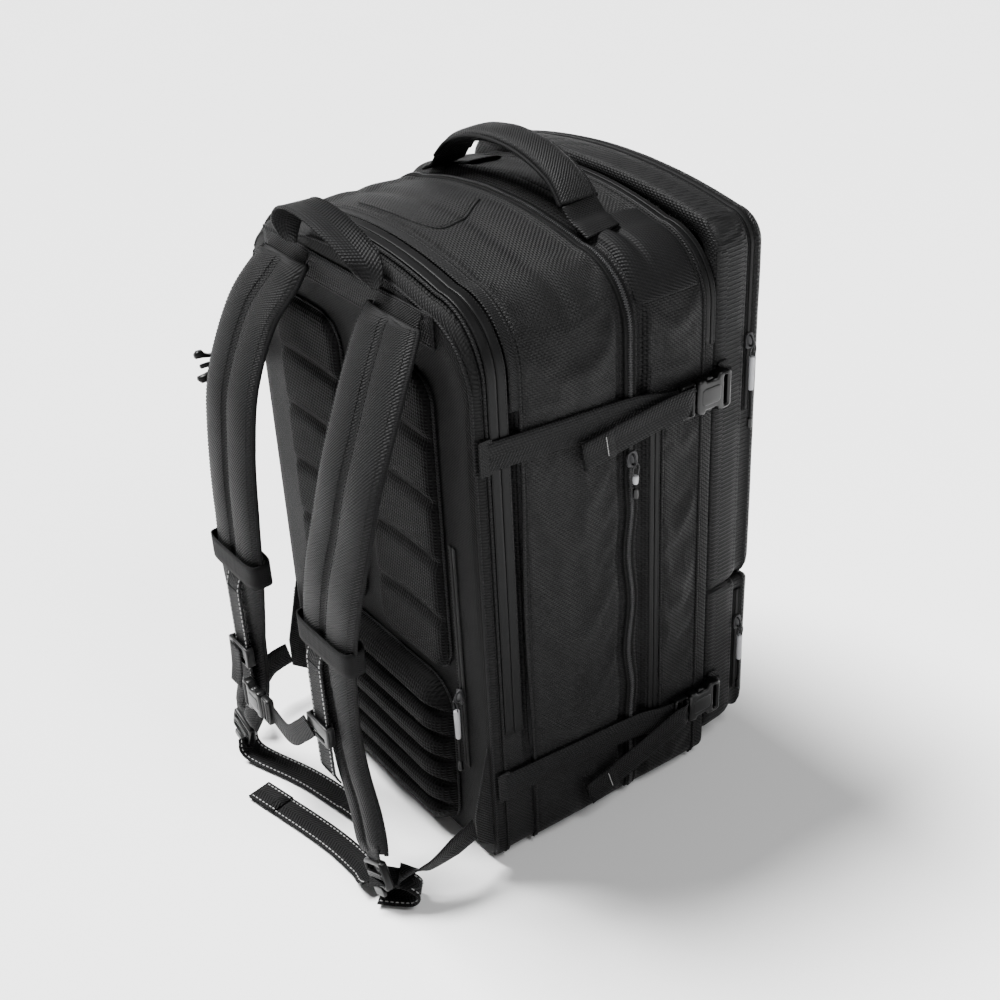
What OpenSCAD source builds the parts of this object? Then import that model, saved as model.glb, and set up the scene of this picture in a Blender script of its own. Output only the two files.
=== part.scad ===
/* [Body] */
// Width of the pack body, side to side
body_w = 330; // [300:5:360]
// Height of the body at its side edges
body_h = 512; // [480:2:540]
// How far the top rises above its edges at the middle
crown = 14; // [6:1:24]
// Radius of the two top corners
top_corner = 55; // [40:1:70]
// Radius of the two bottom corners
base_corner = 20; // [12:1:30]
// Thickness of the padded fabric walls
wall = 3; // [2:0.5:5]

/* [Depth] */
// Harness face of the padded back panel
harness_y = -140; // [-145:1:-135]
// Thickness of the padded back panel
panel_t = 13; // [10:1:16]
// Depth of the laptop compartment
laptop_d = 29; // [24:1:30]
// Plane of the main zip, where the two halves meet
zip_y = 8; // [0:1:16]
// Front of the front compartment, where the pockets begin
pocket_y = 97; // [90:1:100]
// Outermost face of the front pockets
front_y = 157; // [150:1:160]
// Radius of the front pocket's two top corners
pocket_corner = 28; // [20:1:40]
// Height of the front pocket at its top corners
pocket_top = 527; // [510:1:532]

/* [Straps] */
// Thickness of a shoulder pad
pad_t = 16; // [12:1:20]
// Width of the compression webbing
web_w = 25; // [20:1:30]
// Thickness of all webbing
web_t = 1.6; // [1.2:0.1:2.2]
// Width of the sternum webbing
sternum_w = 20; // [15:1:25]
// Width of the hang loop
loop_w = 30; // [20:1:34]
// Height of the sternum sliders above the base
sternum_z = 145; // [130:1:170]

/* [Hardware] */
// Height of the upper compression buckle
upper_z = 384; // [370:1:400]
// Height of the lower compression buckle
lower_z = 72; // [60:1:90]
// Length of a buckle's female half
female_len = 36; // [30:1:40]
// Thickness of a side release buckle
buckle_t = 11; // [9:0.5:13]
// Height of the main zip slider at rest
main_slider_z = 350; // [250:1:350]

/* [Hidden] */
$fn = 32;
half_w = body_w / 2;
gap = 0.4;
skin = 1;
laptop_y = harness_y + panel_t;
divider_y = laptop_y + laptop_d;
divider_t = 3;
main_y = divider_y + divider_t;
front_back_y = zip_y + gap;
panel_top = body_h - 14;
buckle_y = 70;
pad_corner = 5;
pouch_wall = 2.5;

// Control points of the shoulder pads' centre lines, from the yoke down to the ladder locks
RIGHT_PAD = [[84, -155, 480], [97, -180, 445], [108, -208, 395], [106, -222, 345], [97, -230, 295],
             [84, -231, 240], [84, -229, 165], [92, -228, 110], [112, -231, 72], [126, -236, 45]];
LEFT_PAD = [[-80, -155, 480], [-92, -178, 445], [-90, -203, 395], [-80, -218, 345], [-72, -226, 290],
            [-72, -229, 235], [-76, -229, 165], [-82, -229, 110], [-95, -230, 72], [-105, -234, 45]];
PAD_WIDTHS = [72, 76, 78, 78, 76, 74, 50, 48, 44, 38];
// Where the two halves of the sternum buckle meet, across the pack
sternum_x = -25;
RIGHT_RAIL_X = 70;
LEFT_RAIL_X = -70;
rail_y = -241.5;

// Free ends of the shoulder webbing, which lie on the ground behind the pack
RIGHT_TAIL = [[111, -236, 7], [98, -231, 3], [40, -238, 2.4], [-50, -257, 2.4]];
LEFT_TAIL = [[-87, -231, 6], [-70, -224, 3], [-40, -214, 2.4], [4, -204, 2.4], [48, -196, 2.4]];

// Points along an arc about (cx, cz)
function arc(cx, cz, r, from, to, steps) =
    [for (i = [0 : steps]) let (a = from + (to - from) * i / steps) [cx + r * cos(a), cz + r * sin(a)]];

// The body's outline seen from behind, drawn in from its full size by inset
function outline(inset, low, high, corner = top_corner) =
    let (hw = half_w - inset, rb = base_corner - inset / 2, rt = corner - inset / 2,
         z0 = low + inset, z1 = high - inset, span = hw - rt)
    concat(arc(-hw + rb, z0 + rb, rb, 180, 270, 4),
           arc(hw - rb, z0 + rb, rb, 270, 360, 4),
           arc(hw - rt, z1 - rt, rt, 0, 90, 6),
           [for (i = [1 : 7]) let (x = span * (1 - i / 4)) [x, z1 + crown * (1 - pow(x / span, 2))]],
           arc(-hw + rt, z1 - rt, rt, 90, 180, 6));

module slab(y0, y1, inset, low = 0, high = body_h, corner = top_corner) {
    translate([0, y1, 0]) rotate([90, 0, 0])
        linear_extrude(y1 - y0) polygon(outline(inset, low, high, corner));
}

module ring(y0, y1, inset, thickness, low = 0, high = body_h) {
    translate([0, y1, 0]) rotate([90, 0, 0])
        linear_extrude(y1 - y0) difference() {
            polygon(outline(inset, low, high));
            polygon(outline(inset + thickness, low, high));
        }
}

module box(low, high) {
    translate(low) cube(high - low);
}

function unit(v) = v / norm(v);

// A smooth curve through control points, with steps points for each stretch
function curve(p, steps) =
    let (last = len(p) - 1)
    concat([for (i = [0 : last - 1], j = [0 : steps - 1])
        let (t = j / steps, a = p[max(i - 1, 0)], b = p[i], c = p[i + 1], d = p[min(i + 2, last)])
        0.5 * (2 * b + (c - a) * t + (2 * a - 5 * b + 4 * c - d) * t * t
            + (3 * b - a - 3 * c + d) * t * t * t)], [p[last]]);

function spread(values, steps) =
    let (last = len(values) - 1)
    concat([for (i = [0 : last - 1], j = [0 : steps - 1])
        values[i] + (values[i + 1] - values[i]) * j / steps], [values[last]]);

function tangent(p, i) = unit(p[min(i + 1, len(p) - 1)] - p[max(i - 1, 0)]);

function section(w, t, c) = c == 0
    ? [[-w / 2, -t / 2], [w / 2, -t / 2], [w / 2, t / 2], [-w / 2, t / 2]]
    : [[-w / 2 + c, -t / 2], [w / 2 - c, -t / 2], [w / 2, -t / 2 + c], [w / 2, t / 2 - c],
       [w / 2 - c, t / 2], [-w / 2 + c, t / 2], [-w / 2, t / 2 - c], [-w / 2, -t / 2 + c]];

// A flat band swept along a path, with a width and a width direction at each point
module band(path, widths, t, across, c = 0) {
    n = len(path);
    m = c == 0 ? 4 : 8;
    rings = [for (i = [0 : n - 1])
        let (forward = tangent(path, i), side = unit(across[i] - forward * (across[i] * forward)),
             normal = cross(side, forward))
        for (q = section(widths[i], t, c)) path[i] + side * q[0] + normal * q[1]];
    sides = [for (i = [0 : n - 2], k = [0 : m - 1])
        let (a = i * m + k, b = i * m + (k + 1) % m)
        each [[a, b, b + m], [a, b + m, a + m]]];
    caps = [[for (k = [m - 1 : -1 : 0]) k], [for (k = [0 : m - 1]) (n - 1) * m + k]];
    polyhedron(rings, concat(sides, caps));
}

module strip(points, w, across, steps = 3, t = web_t) {
    path = curve(points, steps);
    band(path, [for (p = path) w], t, spread(across, steps));
}

module repeated_strip(points, w, across, steps = 3) {
    strip(points, w, [for (p = points) across], steps);
}

// ---- back panel and laptop compartment ----

module back_panel() {
    color("#1b1b1d") slab(harness_y, laptop_y, 4, 0, panel_top);
}

module pad_block(x0, x1, z0, z1, y0, depth, taper) {
    hull() {
        box([x0, y0 - 1, z0], [x1, y0, z1]);
        box([x0 + taper, y0 - depth, z0 + taper], [x1 - taper, y0 - depth + 1, z1 - taper]);
    }
}

module back_pads() {
    color("#232325") {
        for (s = [-1, 1])
            pad_block(s > 0 ? 14 : -118, s > 0 ? 118 : -14, 178, 452, harness_y, 8, 7);
    }
}

module lumbar_pad() {
    color("#232325") pad_block(-116, 116, 6, 166, harness_y, 22, 20);
}

module frame_sheet() {
    color("#2c2c2e") box([-140, laptop_y, 12], [140, laptop_y + 1.5, 470]);
}

module laptop_gusset() {
    color("#18181a") ring(laptop_y, divider_y, 1, wall, 0, body_h - 3);
}

// A thin skin around the outside of the body, between two planes
module body_skin(y0, y1, inset, high = body_h) {
    ring(y0, y1, inset - skin, skin, 0, high);
}

module laptop_coated_zip() {
    color("#2a2a2c") intersection() {
        body_skin(laptop_y + 2, laptop_y + 20, 1, body_h - 3);
        box([-200, laptop_y, 130], [200, divider_y, 600]);
    }
}

module laptop_sleeve() {
    color("#303034") {
        box([-142, divider_y - 9, 8], [142, divider_y - 5, 330]);
        box([-142, divider_y - 5, 8], [142, divider_y, 14]);
    }
}

module rear_divider() {
    color("#303034") slab(divider_y, main_y, 2);
}

module rear_shell() {
    color("#18181a") ring(main_y, zip_y, 0, wall);
}

module base_board() {
    color("#3a3a3c") box([-142, main_y + 2, wall], [142, zip_y - 2, wall + 2.5]);
}

// One side of the main zip: it runs everywhere but along the spine
module main_zip_half(y0, y1) {
    intersection() {
        body_skin(y0, y1, 0);
        box([-half_w + 25, y0, wall + 1], [200, y1, 600]);
    }
}

module main_zip_rear() {
    color("#101012") main_zip_half(zip_y - 5, zip_y);
}

module strap_yoke() {
    color("#1b1b1d") box([-120, harness_y - 2, 488], [120, harness_y, 499]);
}

module corner_tabs() {
    color("#1b1b1d")
        for (s = [-1, 1])
            translate([s * 160 - 1.5, 0, 0]) rotate([90, 0, 90])
                linear_extrude(3) polygon([[harness_y, 22], [harness_y, 128], [-156, 64], [-156, 34]]);
}

module spine_hinge() {
    color("#1b1b1d") translate([-half_w, zip_y - 10, 22])
        linear_extrude(430) intersection() {
            circle(r = 9.5);
            translate([-10, -10]) square([10, 19.8]);
        }
}

module back_pocket_zip() {
    color("#101012") box([124, harness_y - 1, 90], [134, harness_y, 310]);
}

// ---- compression straps ----

module side_webbing(z_from, z_to) {
    repeated_strip([[half_w + 1.9, -132, z_from], [half_w + 2.6, zip_y, (z_from + z_to) / 2],
        [half_w + 5, buckle_y - 21, z_to]], web_w, [0, 0, 1]);
}

module upper_webbing() {
    color("#202022") side_webbing(400, upper_z);
}

module lower_webbing() {
    color("#202022") side_webbing(86, lower_z);
}

module left_lower_webbing() {
    color("#202022") mirror([1, 0, 0])
        repeated_strip([[half_w + 1.2, -132, 86], [half_w + 2, -90, 80], [half_w + 5, -55, lower_z]],
            web_w, [0, 0, 1]);
}

// The male half: a ladder that holds the webbing, two sprung arms and a guide between them
module male_half() {
    difference() {
        box([2, -16, -15], [10, -1, 15]);
        box([0, -13, -13], [12, -9.5, 13]);
        box([0, -7, -13], [12, -4, 13]);
    }
    for (s = [-1, 1]) {
        box([3.5, -1, s > 0 ? 8.5 : -12], [9.5, 20, s > 0 ? 12 : -8.5]);
        box([3.5, 12, s > 0 ? 12 : -14], [9.5, 18, s > 0 ? 14 : -12]);
    }
    box([5, -1, -2], [8, 16, 2]);
}

// The female half: a hollow box with side windows, a webbing bar and its sewn anchor
module female_half() {
    difference() {
        box([1, 0, -17], [1 + buckle_t, female_len, 17]);
        box([3, -1, -14.4], [10, 24, 14.4]);
        for (s = [-1, 1])
            box([3, 9, s > 0 ? 14 : -18], [10, 22, s > 0 ? 18 : -14]);
        box([0, 28, -13], [13, 32, 13]);
    }
}

module left_lower_male() {
    color("#0c0c0d") mirror([1, 0, 0]) translate([half_w, -34, lower_z]) male_half();
}

module right_upper_male() {
    color("#0c0c0d") translate([half_w, buckle_y, upper_z]) male_half();
}

module right_lower_male() {
    color("#0c0c0d") translate([half_w, buckle_y, lower_z]) male_half();
}

module free_tail(z_from, z_to) {
    repeated_strip([[half_w + 11.8, buckle_y - 10, z_from], [half_w + 8.5, 20, (z_from + z_to) / 2 + 2],
        [half_w + 7, -45, z_to]], web_w, [0, 0.2, 1]);
}

module right_upper_tail() {
    color("#202022") free_tail(upper_z + 1, 372);
}

module right_lower_tail() {
    color("#202022") free_tail(lower_z - 4, 34);
}

module right_upper_female() {
    color("#0c0c0d") translate([half_w, buckle_y, upper_z]) female_half();
}

module right_lower_female() {
    color("#0c0c0d") translate([half_w, buckle_y, lower_z]) female_half();
}

module left_females() {
    color("#0c0c0d")
        for (z = [upper_z, lower_z])
            mirror([1, 0, 0]) translate([half_w, buckle_y, z]) female_half();
}

module left_upper_webbing() {
    color("#202022")
        repeated_strip([[-half_w + 1, harness_y - 2, 374], [-half_w - 1, -152, 374],
            [-half_w - 3, -166, 374]], web_w, [0, 0, 1]);
}

module left_upper_male() {
    color("#0c0c0d") translate([-half_w + 3, -183, 374]) mirror([1, 0, 0]) mirror([0, 1, 0]) male_half();
}

// ---- front half ----

module front_shell() {
    color("#18181a") {
        ring(front_back_y, pocket_y - wall, 0, wall);
        slab(pocket_y - wall, pocket_y, 0);
    }
}

module mesh_pocket() {
    color("#3a3a3c") box([-150, pocket_y - 14, wall + 1], [150, pocket_y - 12, 250]);
}

// A pocket pouch: full size where it is sewn on, rounded in at its outer face
module pouch(low, high, inset, shrink) {
    hull() {
        slab(pocket_y, front_y - 13, inset, low, high, pocket_corner);
        slab(front_y - 1, front_y, inset + shrink, low, high, pocket_corner);
    }
}

module pocket_shell(low, high, shrink) {
    difference() {
        pouch(low, high, 7, shrink);
        intersection() {
            pouch(low, high, 7 + pouch_wall, shrink);
            box([-200, pocket_y + 2, 0], [200, front_y - 2, 600]);
        }
    }
}

module upper_pocket() {
    color("#1b1b1d") pocket_shell(172, pocket_top, 14);
}

module lower_pocket() {
    color("#1b1b1d") difference() {
        intersection() {
            pouch(20, 400, 7, 14);
            box([-200, pocket_y, 0], [200, front_y, 176]);
        }
        intersection() {
            pouch(20, 400, 7 + pouch_wall, 14);
            box([-200, pocket_y + 2, 0], [200, front_y - 2, 176 - pouch_wall]);
        }
    }
}

module front_coated_zips() {
    color("#2a2a2c") {
        intersection() {
            body_skin(pocket_y - 13, pocket_y - 1, 0);
            box([-200, 0, 418], [200, 200, 600]);
        }
        box([half_w, 28, 60], [half_w + skin, 40, 372]);
    }
}

module main_zip_front() {
    color("#101012") main_zip_half(front_back_y, front_back_y + 5);
}

module pocket_zips() {
    color("#101012") {
        difference() {
            intersection() {
                hull() slab(front_y - 24, front_y - 13, 6, 172, pocket_top, pocket_corner);
                box([-200, 0, 345], [200, 200, 600]);
            }
            pouch(172, pocket_top, 7, 14);
        }
        for (s = [-1, 1])
            box([s > 0 ? half_w - 7 : -half_w + 6, front_y - 24, 55],
                [s > 0 ? half_w - 6 : -half_w + 7, front_y - 13, 165]);
    }
}

module handle_patches() {
    color("#202022")
        for (s = [-1, 1])
            intersection() {
                union() {
                    body_skin(front_back_y + 8, 62, 0);
                    box([s * 84 - 10, 18, 505], [s * 84 + 10, 30, 523]);
                }
                box([s > 0 ? 70 : -170, 0, 440], [s > 0 ? 170 : -70, 100, 600]);
                difference() {
                    box([-200, 0, 400], [200, 100, 600]);
                    slab(0, 100, 0);
                }
            }
}

module top_handle() {
    HANDLE = [[-86, 24, 536], [-68, 24, 552], [-36, 24, 564], [0, 24, 568], [36, 24, 564],
              [68, 24, 552], [86, 24, 536]];
    path = curve(HANDLE, 3);
    widths = spread([18, 26, 32, 34, 32, 26, 18], 3);
    color("#202022") band(path, widths, 13, [for (p = path) [0, 1, 0]], 4);
}

module hang_loop() {
    color("#202022")
        strip([[-66, -147, 505], [-67, -149, 524], [-40, -151, 545], [5, -151, 543], [48, -149, 526],
            [63, -147, 505]], loop_w,
            [[1, 0, 0], [0.5, 1, 0], [0, 1, 0], [0, 1, 0], [0.5, 1, 0], [1, 0, 0]], 4);
}

// ---- shoulder straps ----

module shoulder_pad(points) {
    path = curve(points, 3);
    band(path, spread(PAD_WIDTHS, 3), pad_t, [for (p = path) [1, 0, 0]], pad_corner);
}

module right_pad() {
    color("#1b1b1d") shoulder_pad(RIGHT_PAD);
}

module left_pad() {
    color("#1b1b1d") shoulder_pad(LEFT_PAD);
}

// The elastic keeper round the pad
module keeper(x, y) {
    difference() {
        box([x - 41, y - 11.5, 226], [x + 41, y + 11.5, 248]);
        box([x - 39.5, y - 9.8, 220], [x + 39.5, y + 9.8, 260]);
    }
}

module rail(x) {
    box([x - web_w / 2, rail_y - 0.7, 98], [x + web_w / 2, rail_y + 0.7, 216]);
}

module right_strap_webbing() {
    color("#202022") {
        keeper(84, -231);
        rail(RIGHT_RAIL_X);
        repeated_strip(RIGHT_TAIL, web_w, [0.2, 1, 0]);
    }
}

module left_strap_webbing() {
    color("#202022") {
        keeper(-72, -229);
        rail(LEFT_RAIL_X);
        repeated_strip(LEFT_TAIL, web_w, [-0.3, 1, 0]);
    }
}

// A ladder lock: a frame with two bars and a thumb tab
module ladder_lock() {
    difference() {
        box([-16, -4, -14], [16, 4, 12]);
        box([-13, -5, -10], [13, 5, -4]);
        box([-13, -5, 2], [13, 5, 8]);
    }
    box([-9, -7, -19], [9, -3, -14]);
    box([-9, -4, -15], [9, -3, -14]);
}

module right_ladder_lock() {
    color("#0c0c0d") translate([133.7, -238.8, 30.1]) rotate([0, -27, 0]) ladder_lock();
}

module left_ladder_lock() {
    color("#0c0c0d") translate([-110.8, -236.3, 29.2]) rotate([0, 20, 0]) ladder_lock();
}

module right_lower_strap() {
    color("#202022") strip([[160, -158, 50], [163, -180, 46], [160, -207, 36], [146, -226, 30]], web_w,
        [[0, 0, 1], [0.1, 0, 1], [0.5, 0, 0.8], [1, 0, 0.1]], 4);
}

module left_lower_strap() {
    color("#202022") strip([[-160, -158, 50], [-160, -180, 45], [-148, -204, 36], [-124, -222, 29]], web_w,
        [[0, 0, 1], [-0.1, 0, 1], [-0.5, 0, 0.8], [-1, 0, 0.1]], 4);
}

// ---- sternum strap ----

module sternum_slider(x) {
    difference() {
        box([x - 17, -247, sternum_z - 10], [x + 17, rail_y + 2.4, sternum_z + 10]);
        box([x - 13.2, rail_y - 1.2, sternum_z - 11], [x + 13.2, rail_y + 1.2, sternum_z + 11]);
    }
}

module sternum_sliders() {
    color("#0c0c0d") {
        sternum_slider(RIGHT_RAIL_X);
        sternum_slider(LEFT_RAIL_X);
    }
}

module sternum_left_web() {
    color("#202022") repeated_strip([[LEFT_RAIL_X - 2, -248, sternum_z + 6],
        [LEFT_RAIL_X - 3, -249, sternum_z - 18], [LEFT_RAIL_X - 3, -252, sternum_z - 34]], sternum_w, [1, 0, 0]);
}

module sternum_female() {
    color("#0c0c0d") translate([sternum_x, -255, sternum_z - 32]) rotate([0, 0, 90]) rotate([0, 180, 0])
        scale(0.86) translate([-13, 0, 0]) female_half();
}

module sternum_male() {
    color("#0c0c0d") translate([sternum_x, -255, sternum_z - 32]) rotate([0, 0, 90]) rotate([0, 180, 0])
        scale(0.86) translate([-13, 0, 0]) male_half();
}

module sternum_right_web() {
    color("#202022") repeated_strip([[-4, -249, sternum_z - 32], [24, -251, sternum_z - 31],
        [46, -250, sternum_z - 14], [60, -248.4, sternum_z]], sternum_w, [0, 0, 1]);
}

// ---- zip sliders and pulls, hanging down from a pin along X ----

module slider_body(track) {
    difference() {
        box([0.2, -track / 2, -7], [4.6, track / 2, 7]);
        translate([3, 0, 0]) rotate([90, 0, 0]) cylinder(r = 1.5, h = track + 2, center = true);
    }
}

module slider_pull(length) {
    translate([6.5, 0, 0]) {
        translate([0, 0, -10]) difference() {
            rotate([0, 90, 0]) cylinder(r = 5, h = 1.6, center = true);
            rotate([0, 90, 0]) cylinder(r = 3.4, h = 3, center = true);
        }
        translate([0, 0, -length * 0.55]) cylinder(r = 2.6, h = length * 0.55 - 15.2);
        translate([0, 0, -length + 9]) cylinder(r = 1.3, h = length * 0.45 - 9);
        translate([0, 0, -length]) cylinder(r = 2.4, h = 9);
    }
}

module main_slider() {
    color("#151516") translate([half_w + skin, zip_y, main_slider_z]) slider_body(11);
}

module main_pull() {
    color("#b8b8ba") translate([half_w + skin, zip_y, main_slider_z]) slider_pull(34);
}

module upper_pocket_slider() {
    color("#151516") translate([half_w - 6, front_y - 18.5, 410]) slider_body(9);
}

module upper_pocket_pull() {
    color("#b8b8ba") translate([half_w - 6, front_y - 18.5, 410]) slider_pull(78);
}

module lower_pocket_slider() {
    color("#151516") translate([half_w - 6, front_y - 18.5, 130]) slider_body(9);
}

module lower_pocket_pull() {
    color("#b8b8ba") translate([half_w - 6, front_y - 18.5, 130]) slider_pull(72);
}

module back_pocket_slider() {
    color("#151516") translate([129, harness_y - 1, 165]) rotate([0, 0, -90]) slider_body(9);
}

module back_pocket_pull() {
    color("#b8b8ba") translate([129, harness_y - 1, 165]) rotate([0, 0, -90]) slider_pull(76);
}

module laptop_slider() {
    color("#151516") mirror([1, 0, 0]) translate([half_w, laptop_y + 11, 150]) slider_body(9);
}

back_panel();
back_pads();
lumbar_pad();
frame_sheet();
laptop_gusset();
laptop_coated_zip();
laptop_sleeve();
rear_divider();
rear_shell();
base_board();
main_zip_rear();
strap_yoke();
corner_tabs();
spine_hinge();
back_pocket_zip();
upper_webbing();
lower_webbing();
left_lower_webbing();
left_lower_male();
right_lower_strap();
left_lower_strap();
front_shell();
mesh_pocket();
upper_pocket();
lower_pocket();
front_coated_zips();
main_zip_front();
pocket_zips();
handle_patches();
right_upper_female();
right_lower_female();
left_females();
top_handle();
hang_loop();
right_pad();
right_strap_webbing();
right_ladder_lock();
left_pad();
left_strap_webbing();
left_ladder_lock();
sternum_sliders();
sternum_left_web();
sternum_female();
sternum_right_web();
sternum_male();
right_upper_male();
right_upper_tail();
right_lower_male();
right_lower_tail();
left_upper_webbing();
left_upper_male();
main_slider();
main_pull();
upper_pocket_slider();
upper_pocket_pull();
lower_pocket_slider();
lower_pocket_pull();
back_pocket_slider();
back_pocket_pull();
laptop_slider();
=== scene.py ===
import math

import bmesh
import bpy
import numpy as np
from mathutils import Matrix, Vector, noise
from mathutils.bvhtree import BVHTree


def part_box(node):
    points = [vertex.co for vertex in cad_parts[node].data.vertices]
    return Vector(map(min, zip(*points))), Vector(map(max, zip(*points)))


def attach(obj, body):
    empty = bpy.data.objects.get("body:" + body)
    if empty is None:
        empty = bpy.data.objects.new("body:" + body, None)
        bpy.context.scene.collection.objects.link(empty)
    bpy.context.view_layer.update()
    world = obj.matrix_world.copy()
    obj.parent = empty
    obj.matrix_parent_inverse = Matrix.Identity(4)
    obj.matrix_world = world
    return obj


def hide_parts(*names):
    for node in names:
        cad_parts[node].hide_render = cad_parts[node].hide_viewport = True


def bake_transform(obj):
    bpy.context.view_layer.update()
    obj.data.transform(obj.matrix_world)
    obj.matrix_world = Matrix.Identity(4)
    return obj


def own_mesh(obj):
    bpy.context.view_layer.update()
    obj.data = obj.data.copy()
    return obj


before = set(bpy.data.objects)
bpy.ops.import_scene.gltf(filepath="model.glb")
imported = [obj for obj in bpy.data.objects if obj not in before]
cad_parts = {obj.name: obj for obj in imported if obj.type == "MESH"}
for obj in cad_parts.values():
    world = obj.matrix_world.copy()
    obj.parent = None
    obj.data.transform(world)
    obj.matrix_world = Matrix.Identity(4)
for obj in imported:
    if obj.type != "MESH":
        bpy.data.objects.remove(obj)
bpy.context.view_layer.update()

MM = 0.001
HALF_W = 165 * MM
BODY_H = 512 * MM
CROWN = 14 * MM
TOP_CORNER = 55 * MM
BASE_CORNER = 20 * MM
HARNESS_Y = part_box("back_panel")[0].y
LAPTOP_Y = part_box("back_panel")[1].y
DIVIDER_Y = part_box("laptop_gusset")[1].y
MAIN_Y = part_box("rear_shell")[0].y
ZIP_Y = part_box("rear_shell")[1].y
UPPER_Z = 384
LOWER_Z = 72
BUCKLE_Y = 70
WEB_W = 25 * MM
WEB_T = 1.5 * MM
GREY_TINT = 1.04
# Takes a cutout's own axes (along X, across Y, depth Z) to a part drawn with X out, Y along and Z across
LAID_ON_SIDE = Matrix(((0, 0, 1, 0), (1, 0, 0, 0), (0, 1, 0, 0), (0, 0, 0, 1)))
FACING_BACK = Matrix.Rotation(math.radians(90), 4, "X")
MIRROR = Matrix.Diagonal((-1, 1, 1, 1))
FACING_HARNESS = Matrix.Rotation(math.radians(-90), 4, "Z")
UP = np.array([0, 0, 1.0])
BACK = np.array([0, -1.0, 0])
LAPTOP_H = 511 * MM


# ---------------------------------------------------------------- camera, light and floor

def place_camera():
    data = bpy.data.cameras.new("camera")
    data.lens = 53.8
    data.sensor_width = 36
    right = Vector((0.5863, 0.8077, -0.0449)).normalized()
    back = Vector((0.711, -0.4851, 0.5127))
    back = (back - right * back.dot(right)).normalized()
    up = back.cross(right)
    camera = bpy.data.objects.new("camera", data)
    rotation = Matrix((right, up, back)).transposed().to_4x4()
    camera.matrix_world = Matrix.Translation((0.9545, -0.6592, 0.9298)) @ rotation
    bpy.context.scene.collection.objects.link(camera)
    bpy.context.scene.camera = camera


def add_light(name, kind, energy, place, target, **settings):
    data = bpy.data.lights.new(name, kind)
    data.energy = energy
    for key, value in settings.items():
        setattr(data, key, value)
    light = bpy.data.objects.new(name, data)
    aim = Vector(target) - Vector(place)
    light.matrix_world = Matrix.Translation(place) @ aim.to_track_quat("-Z", "Y").to_matrix().to_4x4()
    bpy.context.scene.collection.objects.link(light)


def light_scene():
    add_light("key", "SUN", 13, (-1.15, -0.5, 2.45), (0, 0, 0.25), angle=math.radians(24))
    add_light("side_softbox", "AREA", 34, (1.5, 0.2, 2.1), (0.1, 0, 0.35), shape="RECTANGLE", size=0.5, size_y=1.2)
    bpy.context.scene.world = studio_world(0.1, 2.6)


def studio_world(above, horizon):
    """Dim overhead, with a pale backdrop just above and below the horizon."""
    world = bpy.data.worlds.new("studio")
    world.use_nodes = True
    nodes, links = world.node_tree.nodes, world.node_tree.links
    split = nodes.new("ShaderNodeSeparateXYZ")
    links.new(nodes.new("ShaderNodeTexCoord").outputs["Generated"], split.inputs[0])
    level = nodes.new("ShaderNodeMath")
    level.operation = "ABSOLUTE"
    links.new(split.outputs[2], level.inputs[0])
    fade = nodes.new("ShaderNodeMapRange")
    fade.interpolation_type = "SMOOTHSTEP"
    for socket, value in zip(fade.inputs[1:5], (0.06, 0.16, horizon, above)):
        socket.default_value = value
    links.new(level.outputs[0], fade.inputs[0])
    links.new(fade.outputs[0], nodes["Background"].inputs["Strength"])
    nodes["Background"].inputs["Color"].default_value = (1, 1, 1, 1)
    return world


def lay_floor(material):
    size, level = 40, -0.8 * MM
    mesh = bpy.data.meshes.new("floor")
    corners = [(-size, -size, level), (size, -size, level), (size, size, level), (-size, size, level)]
    mesh.from_pydata(corners, [], [(0, 1, 2, 3)])
    floor = bpy.data.objects.new("floor", mesh)
    floor.data.materials.append(material)
    show(floor)


# ---------------------------------------------------------------- materials

class Net:
    """A node material under construction."""

    def __init__(self, name):
        self.material = bpy.data.materials.new(name)
        self.material.use_nodes = True
        self.tree = self.material.node_tree
        self.shader = self.tree.nodes["Principled BSDF"]

    def add(self, kind, sockets=None, **settings):
        node = self.tree.nodes.new(kind)
        for key, value in settings.items():
            setattr(node, key, value)
        for key, value in (sockets or {}).items():
            self.put(node.inputs[key], value)
        return node

    def put(self, socket, value):
        if isinstance(value, bpy.types.NodeSocket):
            self.tree.links.new(value, socket)
        else:
            socket.default_value = value

    def math(self, operation, a, b=0.0):
        return self.add("ShaderNodeMath", {0: a, 1: b}, operation=operation).outputs[0]

    def blend(self, share, low, high):
        node = self.add("ShaderNodeMix", {"Factor": share}, data_type="FLOAT")
        self.put(node.inputs[2], low)
        self.put(node.inputs[3], high)
        return node.outputs[0]

    def ramp(self, value, low, high):
        node = self.add("ShaderNodeMix", {0: value}, data_type="RGBA")
        self.put(node.inputs[6], (*low, 1))
        self.put(node.inputs[7], (*high, 1))
        return node.outputs[2]

    def noise(self, vector, scale, detail=3.0):
        sockets = {"Vector": vector, "Scale": scale, "Detail": detail}
        return self.add("ShaderNodeTexNoise", sockets).outputs["Fac"]

    def cloth_place(self):
        return self.add("ShaderNodeAttribute", attribute_name="cloth").outputs["Vector"]

    def place(self):
        return self.add("ShaderNodeTexCoord").outputs["Object"]

    def bump(self, height, strength, distance, under=None):
        node = self.add("ShaderNodeBump", {"Strength": strength, "Distance": distance, "Height": height})
        if under is not None:
            self.put(node.inputs["Normal"], under)
        return node.outputs["Normal"]

    def wave(self, value, length):
        return self.math("SINE", self.math("MULTIPLY", value, 2 * math.pi / length))

    def finish(self, colour, roughness, normal, sheen=0.0, metallic=0.0, specular=0.08):
        sockets = {"Base Color": colour, "Roughness": roughness, "Normal": normal, "Sheen Weight": sheen,
                   "Sheen Roughness": 0.45, "Coat Weight": 0.0, "Coat Roughness": 0.3, "Metallic": metallic,
                   "Specular IOR Level": specular}
        for key, value in sockets.items():
            self.put(self.shader.inputs[key], value)
        return self.material


def grey(value, tint=GREY_TINT):
    return (value, value, value * tint)


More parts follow.
